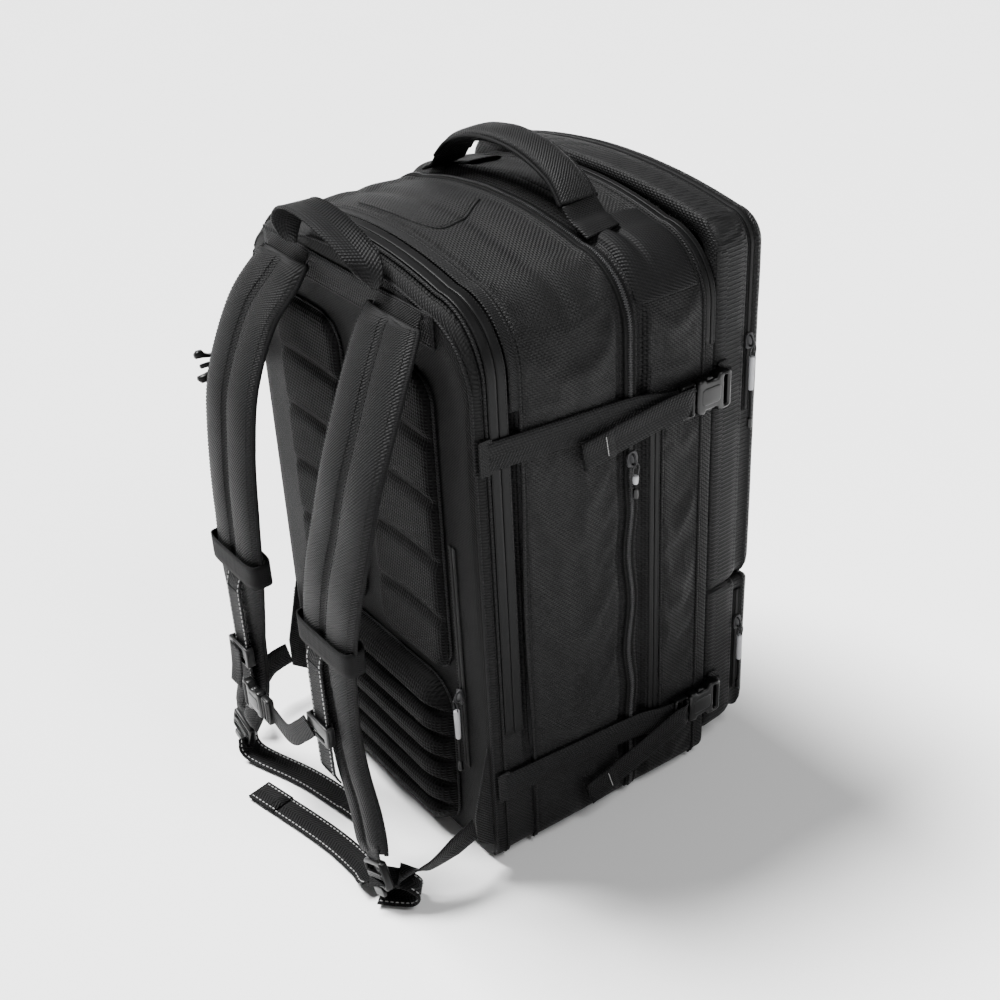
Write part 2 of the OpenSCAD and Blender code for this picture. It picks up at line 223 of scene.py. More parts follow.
def yarns(net, pitch_u, pitch_v):
    """Height of a plain weave: threads run along u in one square of the check and along v in the next."""
    split = net.add("ShaderNodeSeparateXYZ", {0: net.cloth_place()})
    along = net.math("ABSOLUTE", net.math("SINE", net.math("MULTIPLY", split.outputs[0], math.pi / pitch_u)))
    across = net.math("ABSOLUTE", net.math("SINE", net.math("MULTIPLY", split.outputs[1], math.pi / pitch_v)))
    scaled = net.add("ShaderNodeCombineXYZ", {0: net.math("DIVIDE", split.outputs[0], pitch_u),
                                              1: net.math("DIVIDE", split.outputs[1], pitch_v), 2: 0.5})
    check = net.add("ShaderNodeTexChecker", {"Vector": scaled.outputs[0], "Scale": 1.0}).outputs["Fac"]
    return net.blend(check, along, across)


def worn_cloth_with_painted_yarn_shade(net, height, wear, yarn_shade_and_wear, tones, roughness, bump, specular):
    """Colour and roughness from a weave's height and worn, slightly dusty patches. The colour follows the height:
    painted shade in the valleys between yarns and a painted highlight on their crests, over a random worn tone.
    """
    colour = net.ramp(yarn_shade_and_wear, grey(tones[0]), grey(tones[1]))
    rough = net.blend(wear, roughness[0], roughness[1])
    return net.finish(colour, rough, net.bump(height, *bump), specular=specular)


def woven(name, dark, light, pitch, roughness):
    """Plain woven pack cloth."""
    net = Net(name)
    height = yarns(net, pitch, pitch)
    wear = net.noise(net.place(), 14, 5)
    slub = net.noise(net.place(), 420, 2)
    # Colour tone: the yarn height gives painted shade between the yarns and a painted highlight on them; the noise adds
    # a random worn tone.
    yarn_shade_and_wear = net.math("MULTIPLY", net.math("ADD", net.math("MULTIPLY", height, 0.65), wear), 0.62)
    height = net.math("ADD", height, net.math("MULTIPLY", slub, 0.6))
    return worn_cloth_with_painted_yarn_shade(net, height, wear, yarn_shade_and_wear, (dark, light), (roughness - 0.08, roughness + 0.1),
                      (0.8, pitch * 0.35), 0.14)


def twill(name, dark, light, pitch, roughness, depth=0.7):
    """Diagonal twill: ridges step across the cloth at 45 degrees."""
    net = Net(name)
    split = net.add("ShaderNodeSeparateXYZ", {0: net.cloth_place()})
    ridge = net.wave(net.math("ADD", split.outputs[0], split.outputs[1]), pitch)
    yarn = net.wave(split.outputs[0], pitch * 0.7)
    height = net.math("ADD", net.math("MULTIPLY", ridge, 0.35), net.math("MULTIPLY", yarn, 0.15))
    height = net.math("ADD", height, 0.5)
    wear = net.noise(net.place(), 18, 5)
    # Colour tone: the ridge height gives painted shade in the furrows and a painted highlight on the ridges; the noise
    # adds a random worn tone.
    yarn_shade_and_wear = net.math("MULTIPLY", net.math("ADD", height, wear), 0.55)
    return worn_cloth_with_painted_yarn_shade(net, height, wear, yarn_shade_and_wear, (dark, light), (roughness - 0.06, roughness + 0.1),
                      (depth, pitch * 0.3), 0.12)


def ribbed(name, dark, light, pitch, roughness, depth=0.7):
    """Webbing: ribs across the band, with a fine herringbone of yarns along it."""
    net = Net(name)
    split = net.add("ShaderNodeSeparateXYZ", {0: net.cloth_place()})
    away = net.math("ABSOLUTE", split.outputs[1])
    rib = net.wave(net.math("ADD", split.outputs[0], net.math("MULTIPLY", away, 0.55)), pitch)
    yarn = net.wave(split.outputs[1], pitch * 0.8)
    height = net.math("ADD", net.math("MULTIPLY", rib, 0.33), net.math("MULTIPLY", yarn, 0.17))
    height = net.math("ADD", height, 0.5)
    wear = net.noise(net.place(), 30, 4)
    # Colour tone: the rib height gives painted shade between the ribs and a painted highlight on them; the noise adds a
    # random worn tone.
    yarn_shade_and_wear = net.math("MULTIPLY", net.math("ADD", height, net.math("MULTIPLY", wear, 0.6)), 0.62)
    return worn_cloth_with_painted_yarn_shade(net, height, wear, yarn_shade_and_wear, (dark, light), (roughness - 0.05, roughness + 0.1),
                      (depth, pitch * 0.3), 0.08)


def air_mesh(name, dark, light, pitch):
    """Spacer mesh: rows of small open cells over dark foam, the colour darker in the cells than on the strands: the
    foam's own dark colour and painted shade in the open cells.
    """
    net = Net(name)
    scaled = net.add("ShaderNodeVectorMath", {0: net.cloth_place(), "Scale": 1 / pitch}, operation="SCALE")
    cells = net.add("ShaderNodeTexVoronoi", {"Vector": scaled.outputs[0], "Scale": 1.0, "Randomness": 0.12},
                    feature="DISTANCE_TO_EDGE")
    height = net.math("SUBTRACT", 1.0, net.math("MULTIPLY", cells.outputs["Distance"], 2.4))
    colour = net.ramp(height, grey(dark), grey(light))
    rough = net.blend(net.noise(net.place(), 25, 3), 0.7, 0.9)
    return net.finish(colour, rough, net.bump(height, 0.8, pitch * 0.3), sheen=0.02)


def mottled(name, dark, light, marks, rough, bump, grain=None, tint=GREY_TINT, **finish):
    """A smooth material with handling marks and, where it has one, a finer grain. marks and grain are noise
    (scale, detail), rough is its (least, most) and bump is (strength, distance)."""
    net = Net(name)
    wear = net.noise(net.place(), *marks)
    fine = net.noise(net.place(), *grain) if grain else wear
    colour = net.ramp(wear, grey(dark, tint), grey(light, tint))
    return net.finish(colour, net.blend(wear, *rough), net.bump(fine, *bump), **finish)


def moulded(name, dark, light, roughness):
    return mottled(name, dark, light, (60, 5), (roughness - 0.07, roughness + 0.1), (0.2, 0.00015), (1500, 2),
                   specular=0.25)


def thread(name, dark, light, roughness):
    return mottled(name, dark, light, (1200, 2), (roughness, roughness + 0.15), (0.3, 0.0002), tint=1.0)


PACK = woven("pack_cloth", 0.0006, 0.0052, 2.0 * MM, 0.6)
LINING = woven("lining_cloth", 0.008, 0.022, 1.6 * MM, 0.75)
TWILL = twill("twill_cloth", 0.0008, 0.0062, 2.8 * MM, 0.58)
WEBBING = ribbed("webbing", 0.0008, 0.0085, 3.0 * MM, 0.55)
ELASTIC = ribbed("elastic", 0.0008, 0.006, 1.8 * MM, 0.65, 0.5)
# A darker copy of the twill for the back panel: painted shade for the harness face, where the pads shade it.
SHADED_TWILL = twill("panel_twill_painted_shade", 0.0003, 0.0028, 2.8 * MM, 0.62)
# The harness mesh is near-black, darkened further: partly the mesh's own colour, partly painted shade for the shaded
# harness face.
MESH = air_mesh("air_mesh", 0.0001, 0.0016, 3.0 * MM)
POCKET_MESH = air_mesh("pocket_mesh", 0.004, 0.02, 3.2 * MM)
COATED = mottled("coated_tape", 0.0012, 0.0034, (22, 5), (0.42, 0.56), (0.25, 0.0002), (900, 2), specular=0.1)
TAPE = ribbed("zip_tape", 0.0005, 0.003, 1.4 * MM, 0.7, 0.4)
TEETH = moulded("zip_coil", 0.008, 0.028, 0.35)
ACETAL = moulded("acetal", 0.0008, 0.0025, 0.3)
SLEEVE = moulded("pull_sleeve", 0.2, 0.34, 0.45)
CORD = twill("pull_cord", 0.001, 0.006, 1.2 * MM, 0.6, 0.5)
METAL = mottled("slider_metal", 0.015, 0.04, (220, 4), (0.28, 0.48), (0.1, 0.0002), metallic=0.6)
SHEET = moulded("plastic_sheet", 0.006, 0.012, 0.5)
STITCH = thread("black_thread", 0.002, 0.008, 0.5)
REFLECT = thread("reflective_thread", 0.2, 0.4, 0.35)
FLOOR = mottled("floor_paint", 0.91, 0.93, (3, 2), (0.6, 0.7), (0.02, 0.001), tint=1.0)


# ---------------------------------------------------------------- mesh tools

WORK = bpy.data.scenes.new("work")


def link(name, mesh, materials):
    for material in materials:
        mesh.materials.append(material)
    return bpy.data.objects.new(name, mesh)


def show(obj):
    bpy.context.scene.collection.objects.link(obj)
    return obj


def mesh_object(name, points, faces, materials, cloth=None, smooth=True, slots=None):
    mesh = bpy.data.meshes.new(name)
    mesh.from_pydata([tuple(p) for p in points], [], [tuple(int(i) for i in f) for f in faces])
    mesh.validate()
    if cloth is not None:
        attribute = mesh.attributes.new("cloth", "FLOAT_VECTOR", "POINT")
        flat = np.zeros((len(points), 3), np.float32)
        flat[:, :np.shape(cloth)[1]] = cloth
        attribute.data.foreach_set("vector", flat.ravel())
    mesh.polygons.foreach_set("use_smooth", [smooth] * len(mesh.polygons))
    if slots is not None:
        mesh.polygons.foreach_set("material_index", slots)
    return link(name, mesh, materials)


def flat_cloth(obj, a=0, b=2, angle=0.0):
    """Lays the weave flat over a piece, along two of the frame's axes."""
    co = np.array([v.co for v in obj.data.vertices], float)
    c, s = math.cos(angle), math.sin(angle)
    u, v = co[:, a] * c - co[:, b] * s, co[:, a] * s + co[:, b] * c
    attribute = obj.data.attributes.get("cloth") or obj.data.attributes.new("cloth", "FLOAT_VECTOR", "POINT")
    attribute.data.foreach_set("vector", np.stack([u, v, 0 * u], 1).astype(np.float32).ravel())
    return obj


def grid_faces(nu, nv, close_u=False, close_v=False):
    faces = []
    for i in range(nu if close_u else nu - 1):
        for j in range(nv if close_v else nv - 1):
            a, b = i * nv + j, ((i + 1) % nu) * nv + j
            c, d = ((i + 1) % nu) * nv + (j + 1) % nv, i * nv + (j + 1) % nv
            faces.append((a, b, c, d))
    return faces


def facing_out(obj, centre):
    """Turns the faces of an open sheet so that they look away from a point."""
    mesh = obj.data
    total = sum((p.center - Vector(centre)).dot(p.normal) * p.area for p in mesh.polygons)
    if total < 0:
        mesh.flip_normals()
    return obj


def faces_out(mesh, weld=False):
    """Turns the faces of a closed mesh outwards, after welding its seams where it has any."""
    closed = bmesh.new()
    closed.from_mesh(mesh)
    if weld:
        bmesh.ops.remove_doubles(closed, verts=closed.verts, dist=1e-6)
    bmesh.ops.recalc_face_normals(closed, faces=closed.faces)
    closed.to_mesh(mesh)
    closed.free()


def modifier(obj, kind, **settings):
    made = obj.modifiers.new(kind.lower(), kind)
    for key, value in settings.items():
        setattr(made, key, value)
    return made


def apply_modifiers(obj):
    """Applies them in a scene that holds only this piece, which keeps it quick."""
    WORK.collection.objects.link(obj)
    with bpy.context.temp_override(scene=WORK, view_layer=WORK.view_layers[0]):
        graph = bpy.context.evaluated_depsgraph_get()
        mesh = bpy.data.meshes.new_from_object(obj.evaluated_get(graph))
    WORK.collection.objects.unlink(obj)
    old = obj.data
    obj.modifiers.clear()
    obj.data = mesh
    bpy.data.meshes.remove(old)
    return obj


def thicken(obj, thickness, offset=-1, levels=0, lining=False):
    modifier(obj, "SOLIDIFY", thickness=thickness, offset=offset, material_offset=1 if lining else 0)
    return soften(obj) if levels else apply_modifiers(obj)


def soften(obj):
    modifier(obj, "SUBSURF", levels=1, render_levels=1)
    return apply_modifiers(obj)


def joined(name, objects):
    """One object from several, keeping each one's materials."""
    materials, points, faces, cloth, slots = [], [], [], [], []
    for obj in objects:
        mesh, base = obj.data, len(points)
        points += [v.co[:] for v in mesh.vertices]
        attribute = mesh.attributes.get("cloth")
        co = np.zeros(len(mesh.vertices) * 3, np.float32)
        if attribute:
            attribute.data.foreach_get("vector", co)
        cloth.append(co.reshape(-1, 3))
        place = []
        for material in mesh.materials:
            if material not in materials:
                materials.append(material)
            place.append(materials.index(material))
        for p in mesh.polygons:
            faces.append([i + base for i in p.vertices])
            slots.append(place[p.material_index] if place else 0)
        bpy.data.objects.remove(obj)
    return mesh_object(name, points, faces, materials, np.concatenate(cloth), True, slots)


def along_path(path, shift_y, out=0.0, lift=0.0):
    """The path moved by shift_y millimetres along Y and by lift millimetres outwards."""
    return path + out * (lift * MM) + np.array([0, shift_y * MM, 0])


def spanned(obj, slot, first, second, start, end, *nodes):
    """Shows a piece where it stands, fixed in the frame, and hides the parts it replaces; it does not bend between the
    two bodies, and first, second, start and end are not used.
    """
    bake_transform(show(obj))
    if nodes:
        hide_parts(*nodes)


def done(obj, body, slot, *nodes):
    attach(show(obj), body)
    if nodes:
        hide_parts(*nodes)
    return obj


def ease(value, low, high):
    t = np.clip((np.asarray(value, float) - low) / (high - low), 0, 1)
    return t * t * (3 - 2 * t)


def ripple(points, scale, seed):
    """Smooth noise from -1 to 1 at each point."""
    step = Vector((seed * 17.3, seed * 5.1, seed * 9.7))
    flat = points.reshape(-1, 3)
    values = [noise.noise(Vector(p) * scale + step) for p in flat]
    return np.array(values).reshape(points.shape[:-1])


def curve(points, steps):
    """A smooth curve through control points given in millimetres, as the CAD draws it."""
    p = np.array(points, float) * MM
    out, last = [], len(p) - 1
    for i in range(last):
        a, b, c, d = p[max(i - 1, 0)], p[i], p[i + 1], p[min(i + 2, last)]
        for t in [j / steps for j in range(steps)]:
            out.append(0.5 * (2 * b + (c - a) * t + (2 * a - 5 * b + 4 * c - d) * t * t
                              + (3 * b - a - 3 * c + d) * t ** 3))
    return np.array(out + [p[last]])


def spread(values, steps):
    v = np.array(values, float)
    last = len(v) - 1
    out = [v[i] + (v[i + 1] - v[i]) * j / steps for i in range(last) for j in range(steps)]
    return np.array(out + [v[last]])


def unit(v):
    return v / np.maximum(np.linalg.norm(v, axis=-1, keepdims=True), 1e-12)


def frames(path, across):
    forward = unit(np.gradient(path, axis=0))
    side = unit(across - forward * np.sum(across * forward, 1, keepdims=True))
    return forward, side, np.cross(side, forward)


def sweep(name, path, across, section, material):
    """Sweeps a closed section along a path. section(i, n) gives points (side, normal) in metres."""
    forward, side, normal = frames(path, across)
    n = len(path)
    length = np.concatenate([[0], np.cumsum(np.linalg.norm(np.diff(path, axis=0), axis=1))])
    rings, cloth = [], []
    for i in range(n):
        q = np.array(section(i, n))
        rings.append(path[i] + side[i] * q[:, :1] + normal[i] * q[:, 1:])
        cloth.append(np.stack([np.full(len(q), length[i]), q[:, 0]], 1))
    m = len(rings[0])
    faces = grid_faces(n, m, False, True)
    faces.append(list(range(m))[::-1])
    faces.append([(n - 1) * m + k for k in range(m)])
    obj = mesh_object(name, np.concatenate(rings), faces, [material], np.concatenate(cloth))
    faces_out(obj.data)
    return obj


def flat_section(width, thickness):
    """A webbing's cross section: flat, with round selvedges."""
    w, t = width / 2, thickness / 2
    return [(-w + t, -t), (-w * 0.5, -t), (0, -t), (w * 0.5, -t), (w - t, -t), (w, 0), (w - t, t),
            (w * 0.5, t), (0, t), (-w * 0.5, t), (-w + t, t), (-w, 0)]


def band(name, path, across, width, thickness, material):
    return sweep(name, path, across, lambda i, n: flat_section(width, thickness), material)


def webbing(name, points, width, across, steps=8, thickness=WEB_T, material=WEBBING, wave=0.0):
    path = curve(points, steps)
    if len(np.shape(across)) == 1:
        across = [across] * len(points)
    across = spread(across, steps)
    if wave:
        lift = np.sin(np.linspace(0, 9, len(path))) * np.sin(np.linspace(0, math.pi, len(path))) * wave
        path = path + frames(path, across)[2] * lift[:, None]
    return band(name, path, across, width, thickness, material)


def beads(name, centres, forwards, outs, length, radius, material):
    """Short round threads or zip teeth, one at each centre, lying along its forward direction."""
    points, faces = [], []
    for centre, forward, out in zip(centres, forwards, outs):
        side = np.cross(forward, out)
        base = len(points)
        for place, size in ((-0.5, 0.45), (-0.3, 1), (0.3, 1), (0.5, 0.45)):
            at = centre + forward * length * place
            for a in range(6):
                angle = a * math.pi / 3
                points.append(at + (side * math.cos(angle) + out * math.sin(angle)) * radius * size)
        for r in range(3):
            for a in range(6):
                b = (a + 1) % 6
                low = base + r * 6
                faces.append((low + a, low + b, low + 6 + b, low + 6 + a))
        faces.append([base + a for a in range(6)][::-1])
        faces.append([base + 18 + a for a in range(6)])
    return mesh_object(name, points, faces, [material], np.zeros((len(points), 2)))


def spaced(path, out, spacing, phase=0.5):
    """Points at an even spacing along a path, with the path's direction and outward normal at each."""
    steps = np.linalg.norm(np.diff(path, axis=0), axis=1)
    reach = np.concatenate([[0], np.cumsum(steps)])
    at = (np.arange(int(reach[-1] / spacing)) + phase) * spacing
    out = np.broadcast_to(out, path.shape)
    forward = unit(np.gradient(path, axis=0))
    pick = [np.stack([np.interp(at, reach, rows[:, a]) for a in range(3)], 1) for rows in (path, forward, out)]
    return pick[0], unit(pick[1]), unit(pick[2])


def dashes(name, path, out, material=STITCH, spacing=3.2 * MM, length=2.3 * MM, radius=0.3 * MM):
    """A row of stitches along a path."""
    centres, forwards, outs = spaced(np.asarray(path, float), out, spacing)
    return beads(name, centres, forwards, outs, length, radius, material)


def reflective(name, path, out):
    return dashes(name, path, out, REFLECT, 4.6 * MM, 2.9 * MM, 0.55 * MM)


def bar_tack(name, path, out):
    return dashes(name, path, out, spacing=1.3 * MM, length=1.2 * MM, radius=0.45 * MM)


def tube(name, path, radius, material, sides=10):
    """A round cord or welt along a path; radius may be one number or one for each point."""
    forward = unit(np.gradient(path, axis=0))
    spare = np.array([0.21, 0.34, 0.92])
    across = np.array([spare if abs(f @ spare) < 0.9 else np.array([1.0, 0, 0]) for f in forward])
    size = np.broadcast_to(radius, (len(path),))
    angles = np.arange(sides) * 2 * math.pi / sides
    return sweep(name, path, across,
                 lambda i, n: np.stack([np.cos(angles), np.sin(angles)], 1) * size[i], material)


def cutout(name, outer, holes, depth, bevel, material, place):
    """A flat part: an outline with holes, a thickness and rounded edges in millimetres, centred on its plane."""
    data = bpy.data.curves.new(name, "CURVE")
    data.dimensions = "2D"
    data.fill_mode = "BOTH"
    data.extrude = (depth / 2 - bevel) * MM
    data.bevel_depth = bevel * MM
    data.bevel_resolution = 2
    data.offset = -bevel * MM
    for loop in [outer] + list(holes):
        spline = data.splines.new("POLY")
        spline.points.add(len(loop) - 1)
        for point, (x, y) in zip(spline.points, loop):
            point.co = (x * MM, y * MM, 0, 1)
        spline.use_cyclic_u = True
    curve_object = bpy.data.objects.new(name, data)
    mesh = bpy.data.meshes.new_from_object(curve_object)
    bpy.data.objects.remove(curve_object)
    mesh.transform(place)
    mesh.materials.clear()
    obj = link(name, mesh, [material])
    faces_out(mesh, weld=True)
    return flat_cloth(obj)


def rounded(x0, y0, x1, y1, r, steps=4):
    """A rectangle with round corners, in millimetres."""
    out = []
    for cx, cy, a in ((x1 - r, y0 + r, -90), (x1 - r, y1 - r, 0), (x0 + r, y1 - r, 90), (x0 + r, y0 + r, 180)):
        for k in range(steps + 1):
            angle = math.radians(a + 90 * k / steps)
            out.append((cx + r * math.cos(angle), cy + r * math.sin(angle)))
    return out


# ---------------------------------------------------------------- the body's outline

SIDE_STEPS = 64
CORNER_STEPS = 14
TOP_STEPS = 44
BASE_STEPS = 18


def half_outline(inset, low, high, top, crown):
    """The right half of the body's outline, from the middle of the base to the middle of the top."""
    hw, z0, z1 = HALF_W - inset, low + inset, high - inset
    rb, rt = max(BASE_CORNER - inset / 2, 2 * MM), max(top - inset / 2, 2 * MM)
    span = hw - rt
    out = [(span_x, z0) for span_x in np.linspace(0, hw - rb, BASE_STEPS, endpoint=False)]
    for a in np.linspace(-90, 0, 7)[:-1]:
        out.append((hw - rb + rb * math.cos(math.radians(a)), z0 + rb + rb * math.sin(math.radians(a))))
    out += [(hw, z) for z in np.linspace(z0 + rb, z1 - rt, SIDE_STEPS, endpoint=False)]
    for a in np.linspace(0, 90, CORNER_STEPS, endpoint=False):
        out.append((hw - rt + rt * math.cos(math.radians(a)), z1 - rt + rt * math.sin(math.radians(a))))
    out += [(x, z1 + crown * (1 - (x / span) ** 2)) for x in np.linspace(span, 0, TOP_STEPS // 2 + 1)]
    return np.array(out)


def outline(inset=0.0, low=0.0, high=BODY_H, top=TOP_CORNER, crown=CROWN):
    """The whole outline as points (x, z), the same number at every inset, starting at the middle of the base."""
    right = half_outline(inset, low, high, top, crown)
    left = right[1:-1][::-1] * [-1, 1]
    return np.concatenate([right, left])


def outward(loop):
    ahead = np.roll(loop, -1, 0) - np.roll(loop, 1, 0)
    return unit(np.stack([ahead[:, 1], -ahead[:, 0]], 1))


def strap_press(y, z):
    """How freely the cloth may swell: 0 under a compression strap, 1 well away from it."""
    upper = 0.400 - (y + 0.132) * 0.088
    lower = 0.086 - (y + 0.132) * 0.077
    free = 1.0
    for line in (upper, lower):
        free = free * (1 - (1 - ease(np.abs(z - line), 0.011, 0.034)) * ease(y, -0.14, -0.12))
    return free


def on_side(x, z):
    return 1 - ease(z, 0.455, 0.495)


def on_top(x, z):
    return ease(z, 0.490, 0.518)


def zip_sway(x, z, reach=2.2 * MM, wave=95 * MM):
    """How far the slack main zip wanders to the side between the compression straps."""
    free = ease(z, 0.09, 0.13) * (1 - ease(z, 0.29, 0.335)) * (x > 0.15)
    return reach * np.sin(2 * math.pi * z / wave) * free


def wall(name, y0, y1, rows, inset=0.0, swell=0.0, pinch=0.8, dent=0.0, crumple=0.0, high=BODY_H, columns=None,
         thickness=1.6, materials=None, seed=1, shape=None, folds=(), hollows=(), zip_end=None, settle=False):
    """A strip of cloth round the body between two planes, swelling between its seams and pinched at them.
    folds are (y, half width, depth, share): furrows all along it, or rolls where depth is below 0.
    hollows are (y, z, half width, half height, depth) on the right side. zip_end is 0 or 1 where that end of
    the strip is sewn to the main zip and follows it."""
    loop = outline(inset, 0, high)
    normal = outward(loop)
    length = np.concatenate([[0], np.cumsum(np.linalg.norm(np.diff(loop, axis=0), axis=1))])
    keep = np.arange(len(loop)) if columns is None else columns
    t = np.linspace(0, 1, rows)
    y = y0 + (y1 - y0) * t
    flat = np.zeros((len(keep), rows, 3))
    flat[:, :, 0] = loop[keep, 0][:, None]
    flat[:, :, 2] = loop[keep, 1][:, None]
    flat[:, :, 1] = y[None, :]
    z = flat[:, :, 2]
    press = strap_press(flat[:, :, 1], z)
    if shape is not None:
        press = press * shape(flat[:, :, 0], flat[:, :, 1], z)
    hill = np.sin(np.pi * t)[None, :] ** 0.7
    height = swell * MM * hill * press
    height = height - pinch * MM * np.exp(-((t * (1 - t)) / 0.035) ** 2)[None, :]
    if dent:
        wander = 0.5 + 0.06 * ripple(flat, 5, seed + 3)
        height = height - dent * MM * np.exp(-((t[None, :] - wander) / 0.09) ** 2) * press
    if crumple:
        edge = 0.25 + 0.75 * hill
        upright = flat * [1, 2.2, 0.55]
        height = height + crumple * MM * ripple(upright, 13, seed) * edge * press
        height = height + crumple * 0.45 * MM * ripple(upright, 34, seed + 1) * edge * press
    for place, half, depth, share in folds:
        across = (flat[:, :, 1] - place * MM) / (half * MM)
        height = height - depth * MM * np.exp(-across ** 4) * share(flat[:, :, 0], z)
    for at_y, at_z, half_y, half_z, depth in hollows:
        far = ((flat[:, :, 1] - at_y * MM) / (half_y * MM)) ** 2 + ((z - at_z * MM) / (half_z * MM)) ** 2
        height = height - depth * MM * np.exp(-far) * (flat[:, :, 0] > 0)
    if zip_end is not None:
        beside = ease(np.abs(t - (1 - zip_end)), 0.82, 1)
        flat[:, :, 1] += zip_sway(flat[:, :, 0], z) * beside[None, :]
    base = 1 - ease(z, 0.004, 0.03)
    arch = 0.1 * MM + 2.0 * MM * ease(HALF_W - np.abs(flat[:, :, 0]), 0.01, 0.06)
    height = height * (1 - base) - base * arch
    flat[:, :, 0] += normal[keep, 0][:, None] * height
    flat[:, :, 2] += normal[keep, 1][:, None] * height
    cloth = np.stack(np.broadcast_arrays(length[keep][:, None], y[None, :]), -1).reshape(-1, 2)
    faces = grid_faces(len(keep), rows, columns is None)
    obj = mesh_object(name, flat.reshape(-1, 3), faces, materials or [PACK, LINING], cloth)
    facing_out(obj, (0, (y0 + y1) / 2, BODY_H / 2))
    if settle:
        sewn = np.broadcast_to((t < 0.06) | (t > 0.94), press.shape) | (press < 0.3) | (z < 12 * MM)
        for place, half, depth, share in folds:
            sewn = sewn | (np.abs(flat[:, :, 1] - place * MM) < 1.4 * half * MM) & (share(flat[:, :, 0], z) > 0.3)
        settled(obj, sewn.ravel())
    return thicken(obj, thickness * MM, -1, 1, materials is None)


def dropped(path, obj):
    """The points of a path, let down onto a piece from above."""
    tree = BVHTree.FromPolygons([v.co for v in obj.data.vertices], [p.vertices for p in obj.data.polygons])
    return np.array([tree.ray_cast(Vector(p), Vector((0, 0, -1)))[0] for p in path])


def settled(obj, pinned, spare=0.02, reach=3.0 * MM, frames=16):
    """Lets cloth sewn down at its pinned points buckle and settle, with a little more of it than its shape needs.
    No point moves further than reach."""
    before = np.array([v.co for v in obj.data.vertices])
    group = obj.vertex_groups.new(name="sewn")
    group.add([int(i) for i in np.nonzero(pinned)[0]], 1.0, "REPLACE")
    stage = bpy.data.scenes.new("settle")
    stage.collection.objects.link(obj)
    stage.frame_start, stage.frame_end = 1, frames
    cloth = obj.modifiers.new("cloth", "CLOTH")
    cloth.settings.vertex_group_mass = group.name
    cloth.settings.quality = 6
    cloth.settings.mass = 0.35
    cloth.settings.tension_stiffness = 18
    cloth.settings.compression_stiffness = 18
    cloth.settings.bending_stiffness = 1.2
    cloth.settings.shrink_min = -spare
    cloth.settings.air_damping = 4
    cloth.settings.effector_weights.gravity = 0.4
    cloth.point_cache.frame_start, cloth.point_cache.frame_end = 1, frames
    cloth.collision_settings.use_collision = False
    with bpy.context.temp_override(scene=stage, view_layer=stage.view_layers[0]):
        for step in range(1, frames + 1):
            stage.frame_set(step)
        graph = stage.view_layers[0].depsgraph
        after = np.array([v.co for v in obj.evaluated_get(graph).data.vertices])
    stage.collection.objects.unlink(obj)
    bpy.data.scenes.remove(stage)
    obj.modifiers.clear()
    obj.vertex_groups.clear()
    move = after - before
    far = np.linalg.norm(move, axis=1, keepdims=True)
    place = before + move * np.minimum(1, reach / np.maximum(far, 1e-9))
    obj.data.vertices.foreach_set("co", place.astype(np.float32).ravel())
    return obj


def columns_where(test):
    """The run of outline columns for which a test on (x, z) holds, in order."""
    good = [i for i, (x, z) in enumerate(outline()) if test(x, z)]
    gaps = [k for k in range(1, len(good)) if good[k] != good[k - 1] + 1]
    return np.array(good[gaps[0]:] + good[:gaps[0]] if gaps else good)


def rim(y, height, inset, columns, high=BODY_H, low=0.0, top=TOP_CORNER):
    """A path round the body at one depth, standing off the outline by height, with its outward normals."""
    loop = outline(inset, low, high, top)
    normal = outward(loop)[columns]
    place = loop[columns] + normal * height
    path = np.stack([place[:, 0], np.full(len(columns), y), place[:, 1]], 1)
    return path, np.stack([normal[:, 0], np.zeros(len(columns)), normal[:, 1]], 1)


def panel(name, profile, materials, low=0.0, high=BODY_H, dome=0.0, crumple=0.0, seed=1, thickness=1.6,
          turn=1, top=TOP_CORNER, crown=CROWN):
    """A closed face of the body: the outline runs through the profile's rows of (inset, y, drop of the top)
    in millimetres, then fills in to the middle. turn is 1 for a face towards +Y and -1 for one towards -Y."""
    rings = 16
    rows = [(y * MM, outline(inset * MM, low, high - drop * MM, top, crown)) for inset, y, drop in profile]
    last_y, last = rows[-1]
    middle = np.array([0, (low + high) / 2])
    points = [np.stack([r[:, 0], np.full(len(r), y), r[:, 1]], 1) for y, r in rows]
    for k in range(1, rings):
        share = 1 - k / rings
        ring = middle + (last - middle) * share
        y = last_y + turn * dome * (1 - share ** 2)
        points.append(np.stack([ring[:, 0], np.full(len(ring), y), ring[:, 1]], 1))
    count = len(last)
    grid = np.array(points).transpose(1, 0, 2)
    if crumple:
        settle = ease(np.arange(grid.shape[1]), 0, len(profile))[None, :]
        grid[:, :, 1] += turn * crumple * MM * ripple(grid, 11, seed) * settle
        grid[:, :, 1] += turn * crumple * 0.4 * MM * ripple(grid, 31, seed + 1) * settle
    n = grid.shape[1]
    flat = grid.reshape(-1, 3)
    faces = grid_faces(count, n, True)
    centre = len(flat)
    flat = np.concatenate([flat, [[middle[0], last_y + turn * dome, middle[1]]]])
    faces += [(i * n + n - 1, ((i + 1) % count) * n + n - 1, centre) for i in range(count)]
    obj = mesh_object(name, flat, faces, materials, flat[:, [0, 2]])
    facing_out(obj, (0, profile[0][1] * MM - turn * 0.05, (low + high) / 2))
    return thicken(obj, thickness * MM, -1, 0, len(materials) > 1)


# ---------------------------------------------------------------- zips

def band_round(name, path, out, width, thickness, material):
    """A flat strip along a path round the body, its width along Y."""
    return band(name, path, np.broadcast_to(np.array([0, 1.0, 0]), path.shape), width, thickness, material)


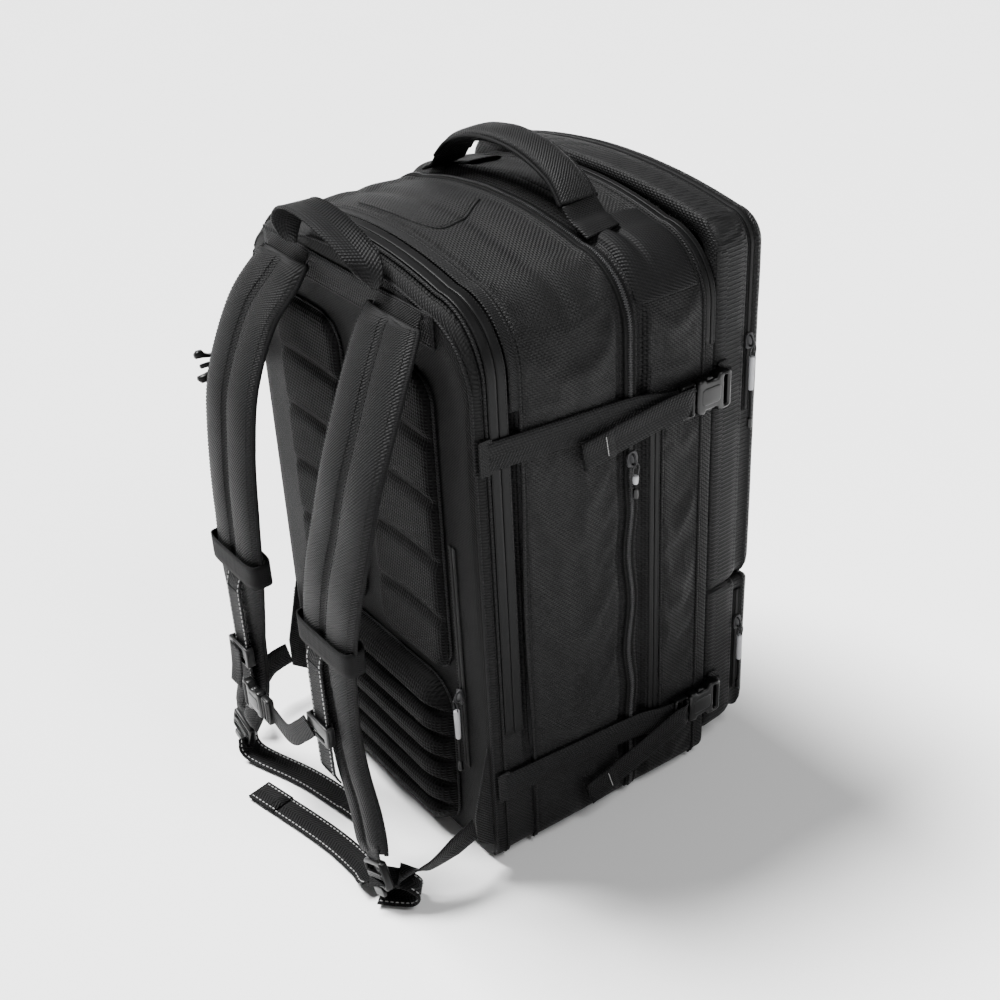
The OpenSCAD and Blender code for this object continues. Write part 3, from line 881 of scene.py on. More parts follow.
def lips(name, y0, y1, height, columns, high=BODY_H, parting=0.5 * MM):
    """A zip under two smooth coated lips that meet over it, with a row of stitches along each outer edge."""
    middle, half = (y0 + y1) / 2, (y1 - y0) / 4
    parts = []
    for side in (-1, 1):
        path, out = rim(middle + side * half, height, 0, columns, high)
        parts.append(band_round(name + "_lip", path, out, 2 * half - parting, 1.1 * MM, COATED))
        parts.append(dashes(name + "_seam", along_path(path, side * (half / MM - 1.6), out, 0.5), out))
    path, out = rim(middle, height - 0.5 * MM, 0, columns, high)
    # The coil under the lips takes the dark tape colour rather than the teeth's: painted shade in the narrow parting
    # between the lips.
    parts.append(band_round(name + "_coil", path, out, 3 * MM, 0.8 * MM, TAPE))
    return joined(name, parts)


def swayed(path):
    path = path.copy()
    path[:, 1] += zip_sway(path[:, 0], path[:, 2])
    return path


def zip_half(name, y_edge, side, phase):
    """Half of the main zip: its tape, a row of stitches and its teeth, and the cloth that closes the base below
    it. side is 1 if the tape lies towards +Y."""
    y_tape = y_edge + side * 2.9 * MM
    columns = columns_where(lambda x, z: (x > -140 * MM and z > 6 * MM) or z > 446 * MM)
    below = columns_where(lambda x, z: z < 26 * MM)
    path, out = rim(y_tape, -0.3 * MM, 0, columns)
    wander = 0.35 * MM * np.sin(np.arange(len(path)) * 0.55)
    path = swayed(path + out * wander[:, None] * 0.5)
    parts = [band_round(name + "_tape", path, out, 6.0 * MM, 2.2 * MM, TAPE)]
    parts.append(dashes(name + "_seam", along_path(path, side * 1.6, out, 1.1), out))
    row, row_out = rim(y_edge + side * 0.5 * MM, 1.05 * MM, 0, columns)
    row = swayed(row + row_out * wander[:, None] * 0.5)
    centres, forwards, outs = spaced(row, row_out, 2.1 * MM, phase)
    across = np.broadcast_to(np.array([0, 1.0, 0]), centres.shape)
    path, out = rim(y_tape, -1.7 * MM, 0, below)
    parts.append(band_round(name + "_base", path, out, 6.4 * MM, 1.2 * MM, PACK))
    parts.append(beads(name + "_teeth", centres, across, outs, 2.8 * MM, 0.62 * MM, TEETH))
    return joined(name, parts)


def at(x, y, z):
    """A shift in millimetres."""
    return Matrix.Translation(Vector((x, y, z)) * MM)


def on_wall(y, z, proud=0.0):
    """The place of a small part on the right side, drawn with X outwards, Y along and Z up, in millimetres."""
    return at(HALF_W / MM + proud, y, z)


def mirrored(half):
    return half + [(x, -y) for x, y in half[::-1]]


def moved(obj, place):
    obj.data.transform(place)
    if place.determinant() < 0:
        obj.data.flip_normals()
    return obj


def cord_through(name, points, radius, material, steps=4):
    return tube(name, curve(points, steps), radius * MM, material, 8)


def swelling(name, x, levels, shares, radii, material):
    """An upright round piece through levels in z, whose radius runs through radii at shares of its length."""
    path = curve([(x, 0, z) for z in levels], 4)
    size = np.interp(np.linspace(0, 1, len(path)), shares, radii) * MM
    return tube(name, path, size, material, 12)


def zip_slider(name, place, body, track):
    """A cast slider: a tapered plate over the teeth, flanges, and a bridge for the pull."""
    half = track / 2
    shield = mirrored([(7, half * 0.35), (5.5, half * 0.8), (1, half), (-4.5, half * 0.95), (-7, half * 0.62)])
    turn = Matrix(((0, 0, 1, 0), (0, 1, 0, 0), (1, 0, 0, 0), (0, 0, 0, 1)))
    plates = []
    for depth, out, scale in ((1.2, 2.5, 1.0), (0.9, 0.9, 0.9)):
        shape = [(x * scale, y * scale) for x, y in shield]
        plates.append(cutout(name + "_plate", shape, [], depth, 0.35, METAL, at(out, 0, 0) @ turn))
    bridge = [(2.8, 0, 4.6), (4.6, 0, 4.2), (6.3, 0, 2.2), (6.6, 0, 0),
              (6.3, 0, -2.2), (4.6, 0, -4.2), (2.8, 0, -4.6)]
    plates.append(cord_through(name + "_bridge", bridge, 0.95, METAL))
    done(moved(joined(name, plates), place), body, "slider_metal", body)


def zip_pull(name, place, body, length, sleeve_share=0.55):
    """A wire ring, a moulded sleeve, a cord and a moulded end, hanging from the slider's bridge."""
    hang = 6.5
    ring = [(5.3, 0, 0.9), (7.3, 0, 0.9), (8.1, 0, -1.4), (7.7, 2.2, -4), (7.2, 3.0, -8), (6.9, 2.2, -12.5),
            (6.8, 0, -15), (6.9, -2.2, -12.5), (7.2, -3.0, -8), (7.7, -2.2, -4), (8.1, 0, -1.4)]
    sleeve_end = -length * sleeve_share
    cord = [(hang, 0, sleeve_end + 2), (hang + 0.2, 0.3, (sleeve_end - length) / 2), (hang, 0, -length + 6)]
    parts = [cord_through(name + "_ring", ring, 0.55, METAL),
             swelling(name + "_sleeve", hang, (-13.2, -14.6, (sleeve_end - 14) / 2, sleeve_end + 1.5, sleeve_end),
                      (0, 0.1, 0.3, 0.85, 1), (1.5, 2.4, 2.7, 2.2, 1.5), SLEEVE),
             cord_through(name + "_cord", cord, 1.25, CORD, 8),
             swelling(name + "_end", hang, (-length + 9, -length + 7.5, -length + 3, -length + 0.6, -length),
                      (0, 0.15, 0.6, 0.9, 1), (1.3, 2.1, 2.5, 2.2, 1.2), ACETAL)]
    done(moved(joined(name, parts), place), body, "pull", body)


# ---------------------------------------------------------------- buckles

FEMALE = mirrored([(0, 13.2), (2, 14.8), (7.6, 15.8), (9.2, 12.7), (20.8, 12.7), (22.4, 16.4), (27, 17),
                   (33, 16.8), (36, 14.6)])
ARM = [(-1.5, 8.4), (6, 9.4), (10.5, 12.2), (12, 14.9), (17, 15.1), (19.8, 12.2), (19.4, 9), (13, 8.2), (6, 6.6),
       (-1.5, 5.6)]


def female_buckle(name, place):
    """The female half of a side release buckle, drawn as the CAD places it: X out, Y along, Z across."""
    lift = at(6.5, 0, 0) @ LAID_ON_SIDE
    slot = [rounded(28.2, -12.8, 31.8, 12.8, 1)]
    parts = [cutout(name + "_shell", FEMALE, slot, 10.4, 2.2, ACETAL, lift),
             cutout(name + "_boss", rounded(3.5, -8, 24.5, 8, 4), [], 11.4, 1.4, ACETAL, lift)]
    return moved(joined(name, parts), place)


def male_buckle(name, place):
    """The male half: a ladder with two webbing slots, two sprung arms and a guide."""
    lift = at(6.2, 0, 0) @ LAID_ON_SIDE
    holes = [rounded(-13.6, -12.6, -10.6, 12.6, 1), rounded(-7.4, -12.6, -4.2, 12.6, 1)]
    parts = [cutout(name + "_ladder", rounded(-16, -15, -1, 15, 2.4), holes, 7.6, 1.6, ACETAL, lift)]
    for side in (-1, 1):
        parts.append(cutout(name + "_arm", [(x, y * side) for x, y in ARM], [], 5.6, 1.2, ACETAL, lift))
    parts.append(cutout(name + "_guide", rounded(-1.5, -2, 16, 2, 1.4), [], 3, 0.8, ACETAL, lift))
    return moved(joined(name, parts), place)


def ladder_lock(name, origin, turn, body, node):
    stand = FACING_BACK
    holes = [rounded(-13, -10, 13, -4.4, 1.4), rounded(-13, 2, 13, 7.8, 1.4)]
    parts = [cutout(name + "_frame", rounded(-16, -14, 16, 12, 3.2), holes, 7.4, 1.9, ACETAL, stand),
             cutout(name + "_tab", rounded(-9, -19.5, 9, -11, 3), [], 3.6, 1.2, ACETAL, at(0, -3.4, 0) @ stand)]
    for z in (-2.4, -0.6, 1.2):
        parts.append(cutout(name + "_grip", rounded(-12, z - 0.7, 12, z + 0.7, 0.6), [], 8.4, 0.5, ACETAL, stand))
    place = at(*origin) @ Matrix.Rotation(math.radians(turn), 4, "Y")
    done(moved(joined(name, parts), place), body, "acetal", node)


# ---------------------------------------------------------------- the rear half

def right_side(x, z):
    return x > HALF_W - 4 * MM


def build_rear():
    obj = panel("back_panel_cloth", [(1, -127, 3), (0.2, -130, 5), (0.8, -134.5, 8), (3, -138.4, 12), (7, -139.8, 14),
                                     (12, -140, 14)], [SHADED_TWILL], crumple=0.5, seed=3, turn=-1)
    done(obj, "root", "twill", "back_panel")

    def laptop_fold(x, z):
        return ease(z, 0.09, 0.14) * (0.25 + 0.75 * on_side(x, z))

    obj = wall("laptop_gusset_cloth", LAPTOP_Y, DIVIDER_Y, 26, inset=1.4 * MM, high=LAPTOP_H, swell=0.4,
               crumple=0.5, seed=5, folds=[(-102.0, 4.3, 7.5, laptop_fold)])
    done(obj, "root", "pack_cloth", "laptop_gusset")
    above = columns_where(lambda x, z: z > 130 * MM)
    obj = lips("laptop_zip_lips", LAPTOP_Y + 2 * MM, LAPTOP_Y + 20 * MM, 0.4 * MM, above, LAPTOP_H)
    done(obj, "root", "coated_tape", "laptop_coated_zip")
    around = columns_where(lambda x, z: z > 3 * MM)
    edges = []
    for y, inset, size, high in ((-126.5, 0.8, 1.5, LAPTOP_H), (-137.2, 2.0, 1.4, 501 * MM)):
        path, out = rim(y * MM, 0.1 * MM, inset * MM, around, high)
        edges.append(tube("laptop_welt", path, size * MM, TWILL, 8))
    path, out = rim(-130 * MM, 0.6 * MM, 0.2 * MM, around, 507 * MM)
    edges.append(dashes("panel_row", path, out))
    done(joined("back_edge_welts", edges), "root", "twill")
    path, out = rim(MAIN_Y - 1.2 * MM, 0.7 * MM, 0.8 * MM, around, LAPTOP_H)
    lean = (path[:, 0] > 0.15) * np.sin(math.pi * np.clip((path[:, 2] - 0.09) / 0.30, 0, 1)) ** 2
    path[:, 1] -= 3.0 * MM * lean
    edges = [tube("fold_cord", path, 1.5 * MM, TWILL, 8),
             band_round("fold_flange", along_path(path, 3.0, out, -0.6), out, 6.4 * MM, 1.1 * MM, PACK),
             dashes("fold_row", along_path(path, 3.4), out)]
    high_part = columns_where(lambda x, z: z > 425 * MM)
    path, out = rim(-100.2 * MM, 0.5 * MM, 0.8 * MM, high_part, LAPTOP_H)
    edges.append(band_round("fold_binding", path, out, 10.4 * MM, 1.8 * MM, TWILL))
    for side in (-1, 1):
        edges.append(dashes("binding_row", along_path(path, side * 3.8, out, 0.9), out))
    done(joined("fold_welt", edges), "root", "twill")
    obj = panel("rear_divider_lining", [(2.5, -91.0, 0), (2.5, -94.6, 0), (3.4, -96.2, 0), (7, -95.2, 0)], [LINING],
                crumple=0.8, seed=7)
    done(obj, "root", "lining", "rear_divider")
    obj = wall("rear_wall_cloth", MAIN_Y, ZIP_Y - 4.4 * MM, 34, swell=4.2, pinch=0.2, dent=2.4,
               crumple=1.0, thickness=2.4, seed=11, zip_end=1, settle=True,
               folds=[(-1.8, 3.0, 5.0, lambda x, z: 0.25 + 0.75 * on_side(x, z))],
               hollows=[(-46, 150, 9, 20, 3.0), (-70, 300, 8, 40, 1.2), (-24, 250, 7, 60, 1.2)])
    flap = curve([(-70, -80, 560), (-12, -81, 560), (22, -78, 560), (38, -68, 560), (28, -42, 560), (6, -14, 560)],
                 14)
    flap = dropped(flap, obj)
    done(obj, "root", "pack_cloth", "rear_shell")
    row = dashes("flap_row", flap + [-3.5 * MM, 0, 0.6 * MM], UP)
    done(joined("top_flap_seam", [tube("flap_edge", flap, 1.3 * MM, PACK, 8), row]), "root", "pack_cloth")
    done(zip_half("main_zip_rear_half", ZIP_Y + 0.1 * MM, -1, 0.0), "root", "zip_teeth", "main_zip_rear")
    board = cutout("base_board_lined", rounded(-142, -93, 142, 6, 8), [], 2.5, 1, LINING, at(0, 0, 4.3))
    done(flat_cloth(board, 0, 1), "root", "lining", "base_board")
    sleeve = cutout("laptop_sleeve_pad", rounded(-142, 8, 142, 330, 10), [], 4.2, 1.8, LINING,
                    at(0, -105, 0) @ FACING_BACK)
    done(flat_cloth(sleeve), "root", "lining", "laptop_sleeve")


def cushion(name, x0, x1, z0, z1, depth, corner, edge, grooves, seed, narrow=0.0):
    """A sewn pad on the harness face: rounded corners, rolled edges and grooves across it. All in millimetres."""
    x0, x1, z0, z1, depth, corner, edge, narrow = np.array((x0, x1, z0, z1, depth, corner, edge, narrow)) * MM
    nu, nv = 40, 90
    u, v = np.meshgrid(np.linspace(0, 1, nu), np.linspace(0, 1, nv), indexing="ij")
    z = z0 + (z1 - z0) * v
    from_end = np.minimum(z - z0, z1 - z)
    cut = np.where(from_end < corner, corner - np.sqrt(np.maximum(corner ** 2 - (corner - from_end) ** 2, 0)), 0)
    cut = cut + narrow * (1 - v) ** 2
    x = (x0 + cut) + (x1 - x0 - 2 * cut) * u
    side = np.minimum(x - x0 - cut, x1 - cut - x)
    near = np.minimum(side, from_end)
    rise = np.sqrt(np.clip(1 - (1 - np.clip(near / edge, 0, 1)) ** 2, 0, 1))
    for groove in grooves:
        line = groove * MM + 3 * MM * np.sin((x - x0) / (x1 - x0) * math.pi)
        rise = rise * (1 - 0.5 * np.exp(-((z - line) / (4.5 * MM)) ** 2))
    place = np.stack([x, 0 * x + HARNESS_Y - 0.4 * MM, z], -1)
    place[..., 1] -= depth * rise + 0.5 * MM * ripple(place, 18, seed) * rise
    flat = place.reshape(-1, 3)
    obj = mesh_object(name, flat, grid_faces(nu, nv), [MESH], flat[:, [0, 2]])
    facing_out(obj, ((x0 + x1) / 2, 0.3, (z0 + z1) / 2))
    border = [(i, 0) for i in range(nu)] + [(nu - 1, j) for j in range(1, nv)]
    border += [(i, nv - 1) for i in range(nu - 2, -1, -1)] + [(0, j) for j in range(nv - 2, -1, -1)]
    rolled = np.array([place[i, j] for i, j in border]) - [0, 1.0 * MM, 0]
    return soften(obj), rolled[::2]


def build_harness_face():
    pads = []
    for side in (-1, 1):
        x0, x1 = sorted((side * 14, side * 118))
        pad, edge = cushion("back_pad", x0, x1, 178, 452, 8, 26, 12, (232, 287, 342, 397), 20 + side)
        pads += [pad, tube("back_pad_edge", edge, 1.3 * MM, TWILL, 8)]
    done(joined("back_pads_mesh", pads), "root", "mesh", "back_pads")
    pad, edge = cushion("lumbar", -116, 116, 6, 166, 21, 30, 26, (34, 60, 86, 112, 138), 31, 4)
    obj = joined("lumbar_pad_mesh", [pad, tube("lumbar_edge", edge, 1.4 * MM, TWILL, 8)])
    done(obj, "root", "mesh", "lumbar_pad")
    path = np.linspace((-0.126, HARNESS_Y - 1 * MM, 0.4885), (0.126, HARNESS_Y - 1 * MM, 0.4885), 40)
    yoke = band("yoke_band", path, np.tile(UP, (len(path), 1)), 27 * MM, 1.8 * MM, WEBBING)
    rows = [dashes("yoke_row", path + [0, -1.0 * MM, z * MM], BACK) for z in (-11.3, 11.3)]
    done(joined("strap_yoke_band", [yoke] + rows), "root", "twill", "strap_yoke")
    shape = [(-140, 22), (-156, 34), (-156, 64), (-140, 128)]
    tabs = []
    for side in (-1, 1):
        place = at(side * 160, 0, 0) @ LAID_ON_SIDE
        tabs.append(flat_cloth(cutout("corner_tab", shape, [], 3, 0.9, TWILL, place), 1, 2))
        for face in (-1, 1):
            x = side * 0.16 + face * 1.6 * MM
            row = np.linspace((x, -0.1545, 0.036), (x, -0.1545, 0.063), 8)
            row = np.concatenate([row, np.linspace((x, -0.1535, 0.066), (x, -0.1415, 0.122), 16)])
            tabs.append(dashes("corner_row", row, np.array([face, 0.0, 0])))
    done(joined("corner_tabs_cloth", tabs), "root", "twill", "corner_tabs")
    side_lips = []
    for side in (-1, 1):
        middle = 129 + side * 2.6
        strip = cutout("back_zip_lip", rounded(middle - 2.3, 90, middle + 2.3, 310, 1.5), [], 1.1, 0.4, COATED,
                       at(0, HARNESS_Y / MM - 0.7, 0) @ FACING_BACK)
        x, y = (129 + side * 4.0) * MM, HARNESS_Y - 1.3 * MM
        side_lips += [strip, dashes("back_zip_row", np.linspace((x, y, 0.092), (x, y, 0.308), 60), BACK)]
    done(joined("back_pocket_zip_lips", side_lips), "root", "coated_tape", "back_pocket_zip")


def build_spine():
    """The cloth hinge: it bulges out between the two halves and stays fixed where it stands as the pack opens."""
    nu, nv = 30, 130
    t = np.linspace(0, 1, nu)[:, None]
    z = np.linspace(20 * MM, 454 * MM, nv)[None, :]
    y = -13 * MM + 30 * MM * t + 0 * z
    end = ease(z, 0.020, 0.05) * (1 - ease(z, 0.42, 0.454))
    x = -HALF_W - 0.9 * MM - 6.5 * MM * np.sin(math.pi * np.clip(t * 1.25, 0, 1)) ** 0.8 * end
    place = np.stack([x + 0 * y, y, 0 * t + z], -1)
    place[..., 0] += 0.7 * MM * ripple(place, 22, 41) * end
    flat = place.reshape(-1, 3)
    obj = mesh_object("spine_cloth", flat, grid_faces(nu, nv), [PACK, LINING], flat[:, [1, 2]])
    facing_out(obj, (0, 0, 0.25))
    obj = thicken(obj, 1.5 * MM, -1, 1, True)
    spanned(obj, "pack_cloth", "root", "front", (-0.17, -0.006, 0.2), (-0.17, 0.0084, 0.2), "spine_hinge")


# ---------------------------------------------------------------- the front half

# The padded roll behind the zip on the top of the front half, and the crease beyond it
TOP_FOLDS = [(26, 8, -3.6, on_top), (39, 3, 2.6, on_top)]


def build_front():
    def clear_of_strip(x, y, z):
        strip = ease(x, 0.15, 0.163) * ease(z, 0.045, 0.065) * (1 - ease(z, 0.368, 0.385))
        return 1 - strip * np.exp(-((y - 0.034) / 0.0095) ** 4)

    obj = wall("front_wall_cloth", ZIP_Y + 5.0 * MM, 84 * MM, 36, swell=3.4, pinch=0.2, crumple=1.3,
               thickness=2.4, seed=51, shape=clear_of_strip, zip_end=0, settle=True,
               folds=[(21.5, 4.6, 7.0, on_side)] + TOP_FOLDS,
               hollows=[(60, 300, 9, 60, 1.6), (56, 130, 9, 26, 1.8)])
    done(obj, "front", "pack_cloth", "front_shell")
    done(wall("front_edge_cloth", 84 * MM, 96 * MM, 8, swell=0.3, thickness=2.0, seed=53), "front", "pack_cloth")
    obj = panel("front_face_cloth", [(0.4, 95.6, 0), (1.6, 96.8, 0), (5, 97.2, 0)], [PACK, LINING], crumple=0.3,
                seed=55, thickness=2.4)
    done(obj, "front", "pack_cloth")
    done(zip_half("main_zip_front_half", ZIP_Y + 0.5 * MM, 1, 0.5), "front", "zip_teeth", "main_zip_front")
    top = columns_where(lambda x, z: z > 418 * MM)
    side = columns_where(lambda x, z: right_side(x, z) and 60 * MM < z < 372 * MM)
    parts = [lips("front_top_lips", 84.5 * MM, 96 * MM, 0.7 * MM, top),
             lips("front_side_lips", 28 * MM, 40 * MM, 0.5 * MM, side)]
    path, out = rim(41.6 * MM, 0.8 * MM, 0, side)
    parts += [tube("side_piping", path, 1.2 * MM, TWILL, 8),
              dashes("side_piping_row", along_path(path, 2.2, out, 0.8), out)]
    done(joined("front_zip_lips", parts), "front", "coated_tape", "front_coated_zips")
    welt, out = rim(83.6 * MM, 0.2 * MM, 0, columns_where(lambda x, z: z > 3 * MM))
    done(tube("front_welt", welt, 1.5 * MM, TWILL, 8), "front", "twill")
    nu, nv = 60, 50
    x, z = np.meshgrid(np.linspace(-0.150, 0.150, nu), np.linspace(0.004, 0.250, nv), indexing="ij")
    y = 0.084 + 0.0006 * np.sin(x * 60) * (z / 0.25)
    sheet = np.stack([x, y, z], -1).reshape(-1, 3)
    obj = mesh_object("mesh_pocket_sheet", sheet, grid_faces(nu, nv), [POCKET_MESH], sheet[:, [0, 2]])
    obj = thicken(obj, 0.6 * MM, 0)
    binding = tube("mesh_pocket_binding", np.stack([x[:, -1], y[:, -1], z[:, -1]], 1), 1.1 * MM, ELASTIC, 8)
    done(binding, "front", "webbing")
    done(obj, "front", "mesh", "mesh_pocket")


POCKET_HIGH = 522 * MM
POCKET_CORNER = 28 * MM
POCKET_ZIP_Y = 138.5 * MM
POCKET_PROFILE = [
    (14, 97.5, 0), (5, 97.3, 0), (2.2, 98.2, 0), (1.0, 100.4, 0), (0.7, 105, 0), (1.2, 112, 0), (1.8, 122, 0),
    (3.0, 129, 0), (4.2, 132.6, 0), (6.2, 133.8, 0), (6.2, 143.4, 0), (4.8, 145, 0), (6.4, 149, 0), (9.5, 153, 0),
    (14, 155.8, 0), (20, 157.2, 0), (30, 157.6, 0)]


def pocket_zip(path, out):
    # The pocket coil takes the dark cord colour rather than the teeth's: painted shade of the groove the pocket zip
    # lies in.
    return [band_round("pocket_tape", path, out, 10 * MM, 0.8 * MM, TAPE),
            band_round("pocket_coil", along_path(path, 0, out, 0.5), out, 3.4 * MM, 1.0 * MM, CORD)]


def build_pockets():
    for level, low, high, seed, top, crown in (("upper", 170 * MM, POCKET_HIGH, 61, POCKET_CORNER, CROWN),
                                               ("lower", 18 * MM, 182 * MM, 67, 8 * MM, 0)):
        obj = panel(level + "_pocket_cloth", POCKET_PROFILE, [PACK, LINING], low, high, 1.5 * MM, 1.0, seed, 2.0,
                    top=top, crown=crown)
        done(obj, "front", "pack_cloth", level + "_pocket")
    loop = outline(5.6 * MM, 170 * MM, POCKET_HIGH, POCKET_CORNER)
    high_part = [i for i, (x, z) in enumerate(loop) if z > 345 * MM]
    path, out = rim(POCKET_ZIP_Y, 0, 5.6 * MM, high_part, POCKET_HIGH, 170 * MM, POCKET_CORNER)
    parts = pocket_zip(path, out)
    parts += [dashes("pocket_row", along_path(path, side * 3.6, out, 0.4), out) for side in (-1, 1)]
    for side in (-1, 1):
        x = side * 159.2 * MM
        strip = np.linspace((x, POCKET_ZIP_Y, 0.055), (x, POCKET_ZIP_Y, 0.165), 30)
        parts += pocket_zip(strip, np.broadcast_to(np.array([side, 0.0, 0]), strip.shape))
    done(joined("pocket_zip_tapes", parts), "front", "zip_teeth", "pocket_zips")


def build_handle():
    steps = 8
    arch = [(-86, 536), (-68, 552), (-36, 564), (0, 568), (36, 564), (68, 552), (86, 536)]
    path = curve([(x, 24, z) for x, z in arch], steps)
    widths = spread([36, 33, 34, 35, 34, 33, 36], steps) * MM
    depth = spread([7, 11, 13, 13, 13, 11, 7], steps) * MM
    angles = np.arange(20) * 2 * math.pi / 20
    shape = np.stack([np.sign(np.cos(angles)) * np.abs(np.cos(angles)) ** 0.7,
                      np.sign(np.sin(angles)) * np.abs(np.sin(angles)) ** 0.8], 1)
    across = np.tile([0, 1.0, 0], (len(path), 1))
    core = sweep("handle_core", path, across,
                 lambda i, n: shape * [widths[i] / 2 - 1 * MM, depth[i] / 2 * (1 + 0.03 * math.sin(i * 0.9))], TWILL)
    parts = [soften(core)]
    forward, side, normal = frames(path, across)
    for s in (-1, 1):
        edge = path + side * (widths * s * 0.5)[:, None]
        parts.append(tube("handle_piping", edge, 1.7 * MM, ELASTIC, 8))
        row = path + side * (widths * s * 0.5 - s * 4.5 * MM)[:, None] + normal * (depth * 0.46)[:, None]
        parts.append(dashes("handle_row", row, normal))
    done(joined("top_handle_padded", parts), "top_handle", "twill", "top_handle")
    feet = []
    for s in (-1, 1):
        columns = columns_where(lambda x, z: x * s > 88 * MM and z > 470 * MM)
        patch = wall("handle_patch", 16.6 * MM, 80 * MM, 30, inset=-1.9 * MM, swell=3.4, pinch=1.4, crumple=0.5,
                     columns=columns, thickness=1.4, materials=[WEBBING], seed=71, folds=TOP_FOLDS)
        low = dropped(np.array([(s * 112, 27, 600), (s * 104, 26, 600)]) * MM, patch) / MM + [0, 0, 1.2]
        ends = [tuple(low[0] - [0, 0, 2.6]), tuple(low[1]), (s * 95, 25, low[1][2] + 4.2), (s * 86, 24, 536)]
        side_name = "right" if s > 0 else "left"
        foot = webbing(side_name + "_handle_foot", ends, 36 * MM, (0, 1, 0), 6, 3.2 * MM, TWILL)
        spanned(foot, "twill", "front", "top_handle", tuple(low[1] * MM), (s * 0.087, 0.024, 0.535))
        feet.append(patch)
        for y in (18.8, 78):
            row, out = rim(y * MM, 3.0 * MM, 0, columns)
            feet.append(dashes("patch_row", row, out))
    done(joined("handle_patches_cloth", feet), "front", "twill", "handle_patches")


def build_hang_loop():
    points = [(-66, -147, 505), (-67, -149, 524), (-40, -151, 545), (5, -151, 543), (48, -149, 526), (63, -147, 505)]
    across = [(1, 0, 0), (0.5, 1, 0), (0, 1, 0), (0, 1, 0), (0.5, 1, 0), (1, 0, 0)]
    path = curve(points, 10)
    sides = unit(spread(across, 10))
    widths = spread([16, 25, 33, 34, 27, 14], 10) * MM
    body = sweep("hang_loop_band", path, sides, lambda i, n: flat_section(widths[i], 2.2 * MM), WEBBING)
    forward, side, normal = frames(path, sides)
    parts = [body]
    for s in (-1, 1):
        row = path + side * s * (widths[:, None] / 2 - 2.6 * MM)
        parts.append(dashes("hang_row", row + normal * 1.2 * MM, normal))
        parts.append(dashes("hang_row", row - normal * 1.2 * MM, -normal))
    done(joined("hang_loop_cloth", parts), "hang_loop", "twill", "hang_loop")


# ---------------------------------------------------------------- shoulder straps

RIGHT_PAD = [(84, -155, 480), (97, -180, 445), (108, -208, 395), (106, -222, 345), (97, -230, 295),
             (84, -231, 240), (84, -229, 165), (92, -228, 110), (112, -231, 72), (126, -236, 45)]
LEFT_PAD = [(-80, -155, 480), (-92, -178, 445), (-90, -203, 395), (-80, -218, 345), (-72, -226, 290),
            (-72, -229, 235), (-76, -229, 165), (-82, -229, 110), (-95, -230, 72), (-105, -234, 45)]
PAD_WIDTHS = [72, 76, 78, 78, 76, 74, 50, 48, 44, 38]
RAIL_Y = -241.5


def shoulder_pad(name, control, body, node):
    """A padded strap: twill outside in two soft lobes with a seam sunk between them, mesh inside, bound edges."""
    steps = 9
    x, y, z = control[0]
    path = curve([(x * 0.985, -147.5, 489.5)] + control, steps)
    widths = spread([66] + PAD_WIDTHS, steps) * MM
    across = np.tile([1.0, 0, 0], (len(path), 1))
    u = np.sin(np.linspace(-1, 1, 31) * math.pi / 2)
    m = 2 * len(u) - 2

    def lobes(u, i, n):
        end = min(1.0, 0.12 + i * 0.11, 0.35 + (n - 1 - i) * 0.16)
        flat_part = 1 - np.abs(u) ** 3.2
        lobe = np.clip(1 - np.abs(2 * np.abs(u) - 1) ** 2.4, 0, 1) ** 0.6
        return 1.4 * MM + end * (2.6 * flat_part + 4.6 * lobe) * MM * (1 + 0.06 * math.sin(i * 0.47))

    def section(i, n):
        w = widths[i] / 2
        outer = np.stack([u * w, -lobes(u, i, n)], 1)
        flat_back = (1 - np.abs(u[1:-1][::-1]) ** 3.2) * 5.6 * MM * min(1.0, 0.05 + i * 0.07) + 1.2 * MM
        return np.concatenate([outer, np.stack([u[1:-1][::-1] * w, flat_back], 1)])

    pad = sweep(name + "_pad", path, across, section, TWILL)
    pad.data.materials.append(MESH)
    ring = [k % m >= len(u) - 1 for k in range((len(path) - 1) * m)] + [False, False]
    pad.data.polygons.foreach_set("material_index", [int(v) for v in ring])
    parts = [soften(pad)]
    forward, side, normal = frames(path, across)
    n = len(path)
    for s in (-1, 1):
        edge = path + side * (widths * s * 0.5)[:, None]
        angles = np.arange(10) * 2 * math.pi / 10
        shape = np.stack([np.cos(angles) * 2.4 * MM, np.sin(angles) * 2.0 * MM], 1)
        parts.append(sweep(name + "_binding", edge, across, lambda i, n: shape, ELASTIC))
        for share in (0.88, 0.12):
            raised = np.array([lobes(np.array([share]), i, n)[0] for i in range(n)])
            row = path + side * (widths * s * 0.5 * share)[:, None] - normal * raised[:, None]
            parts.append(dashes(name + "_row", row[5:-4], -normal[5:-4], radius=0.35 * MM))
    obj = joined(name, parts)
    done(obj, body, "twill", node)


def keeper_band(name, x, y):
    angles = np.linspace(0, 2 * math.pi, 64, endpoint=False)
    c, s = np.cos(angles), np.sin(angles)
    loop_x = (x + np.sign(c) * np.abs(c) ** 0.35 * 40) * MM
    loop_y = (y + np.sign(s) * np.abs(s) ** 0.45 * 10.6) * MM
    rows = np.linspace(226, 248, 6) * MM
    place = np.stack([np.repeat(loop_x, 6), np.repeat(loop_y, 6), np.tile(rows, 64)], 1)
    length = np.repeat(np.arange(64) * 3.1 * MM, 6)
    obj = mesh_object(name, place, grid_faces(64, 6, True), [ELASTIC], np.stack([np.tile(rows, 64), length], 1))
    facing_out(obj, (x * MM, y * MM, 0.237))
    return thicken(obj, 1.4 * MM, 0)


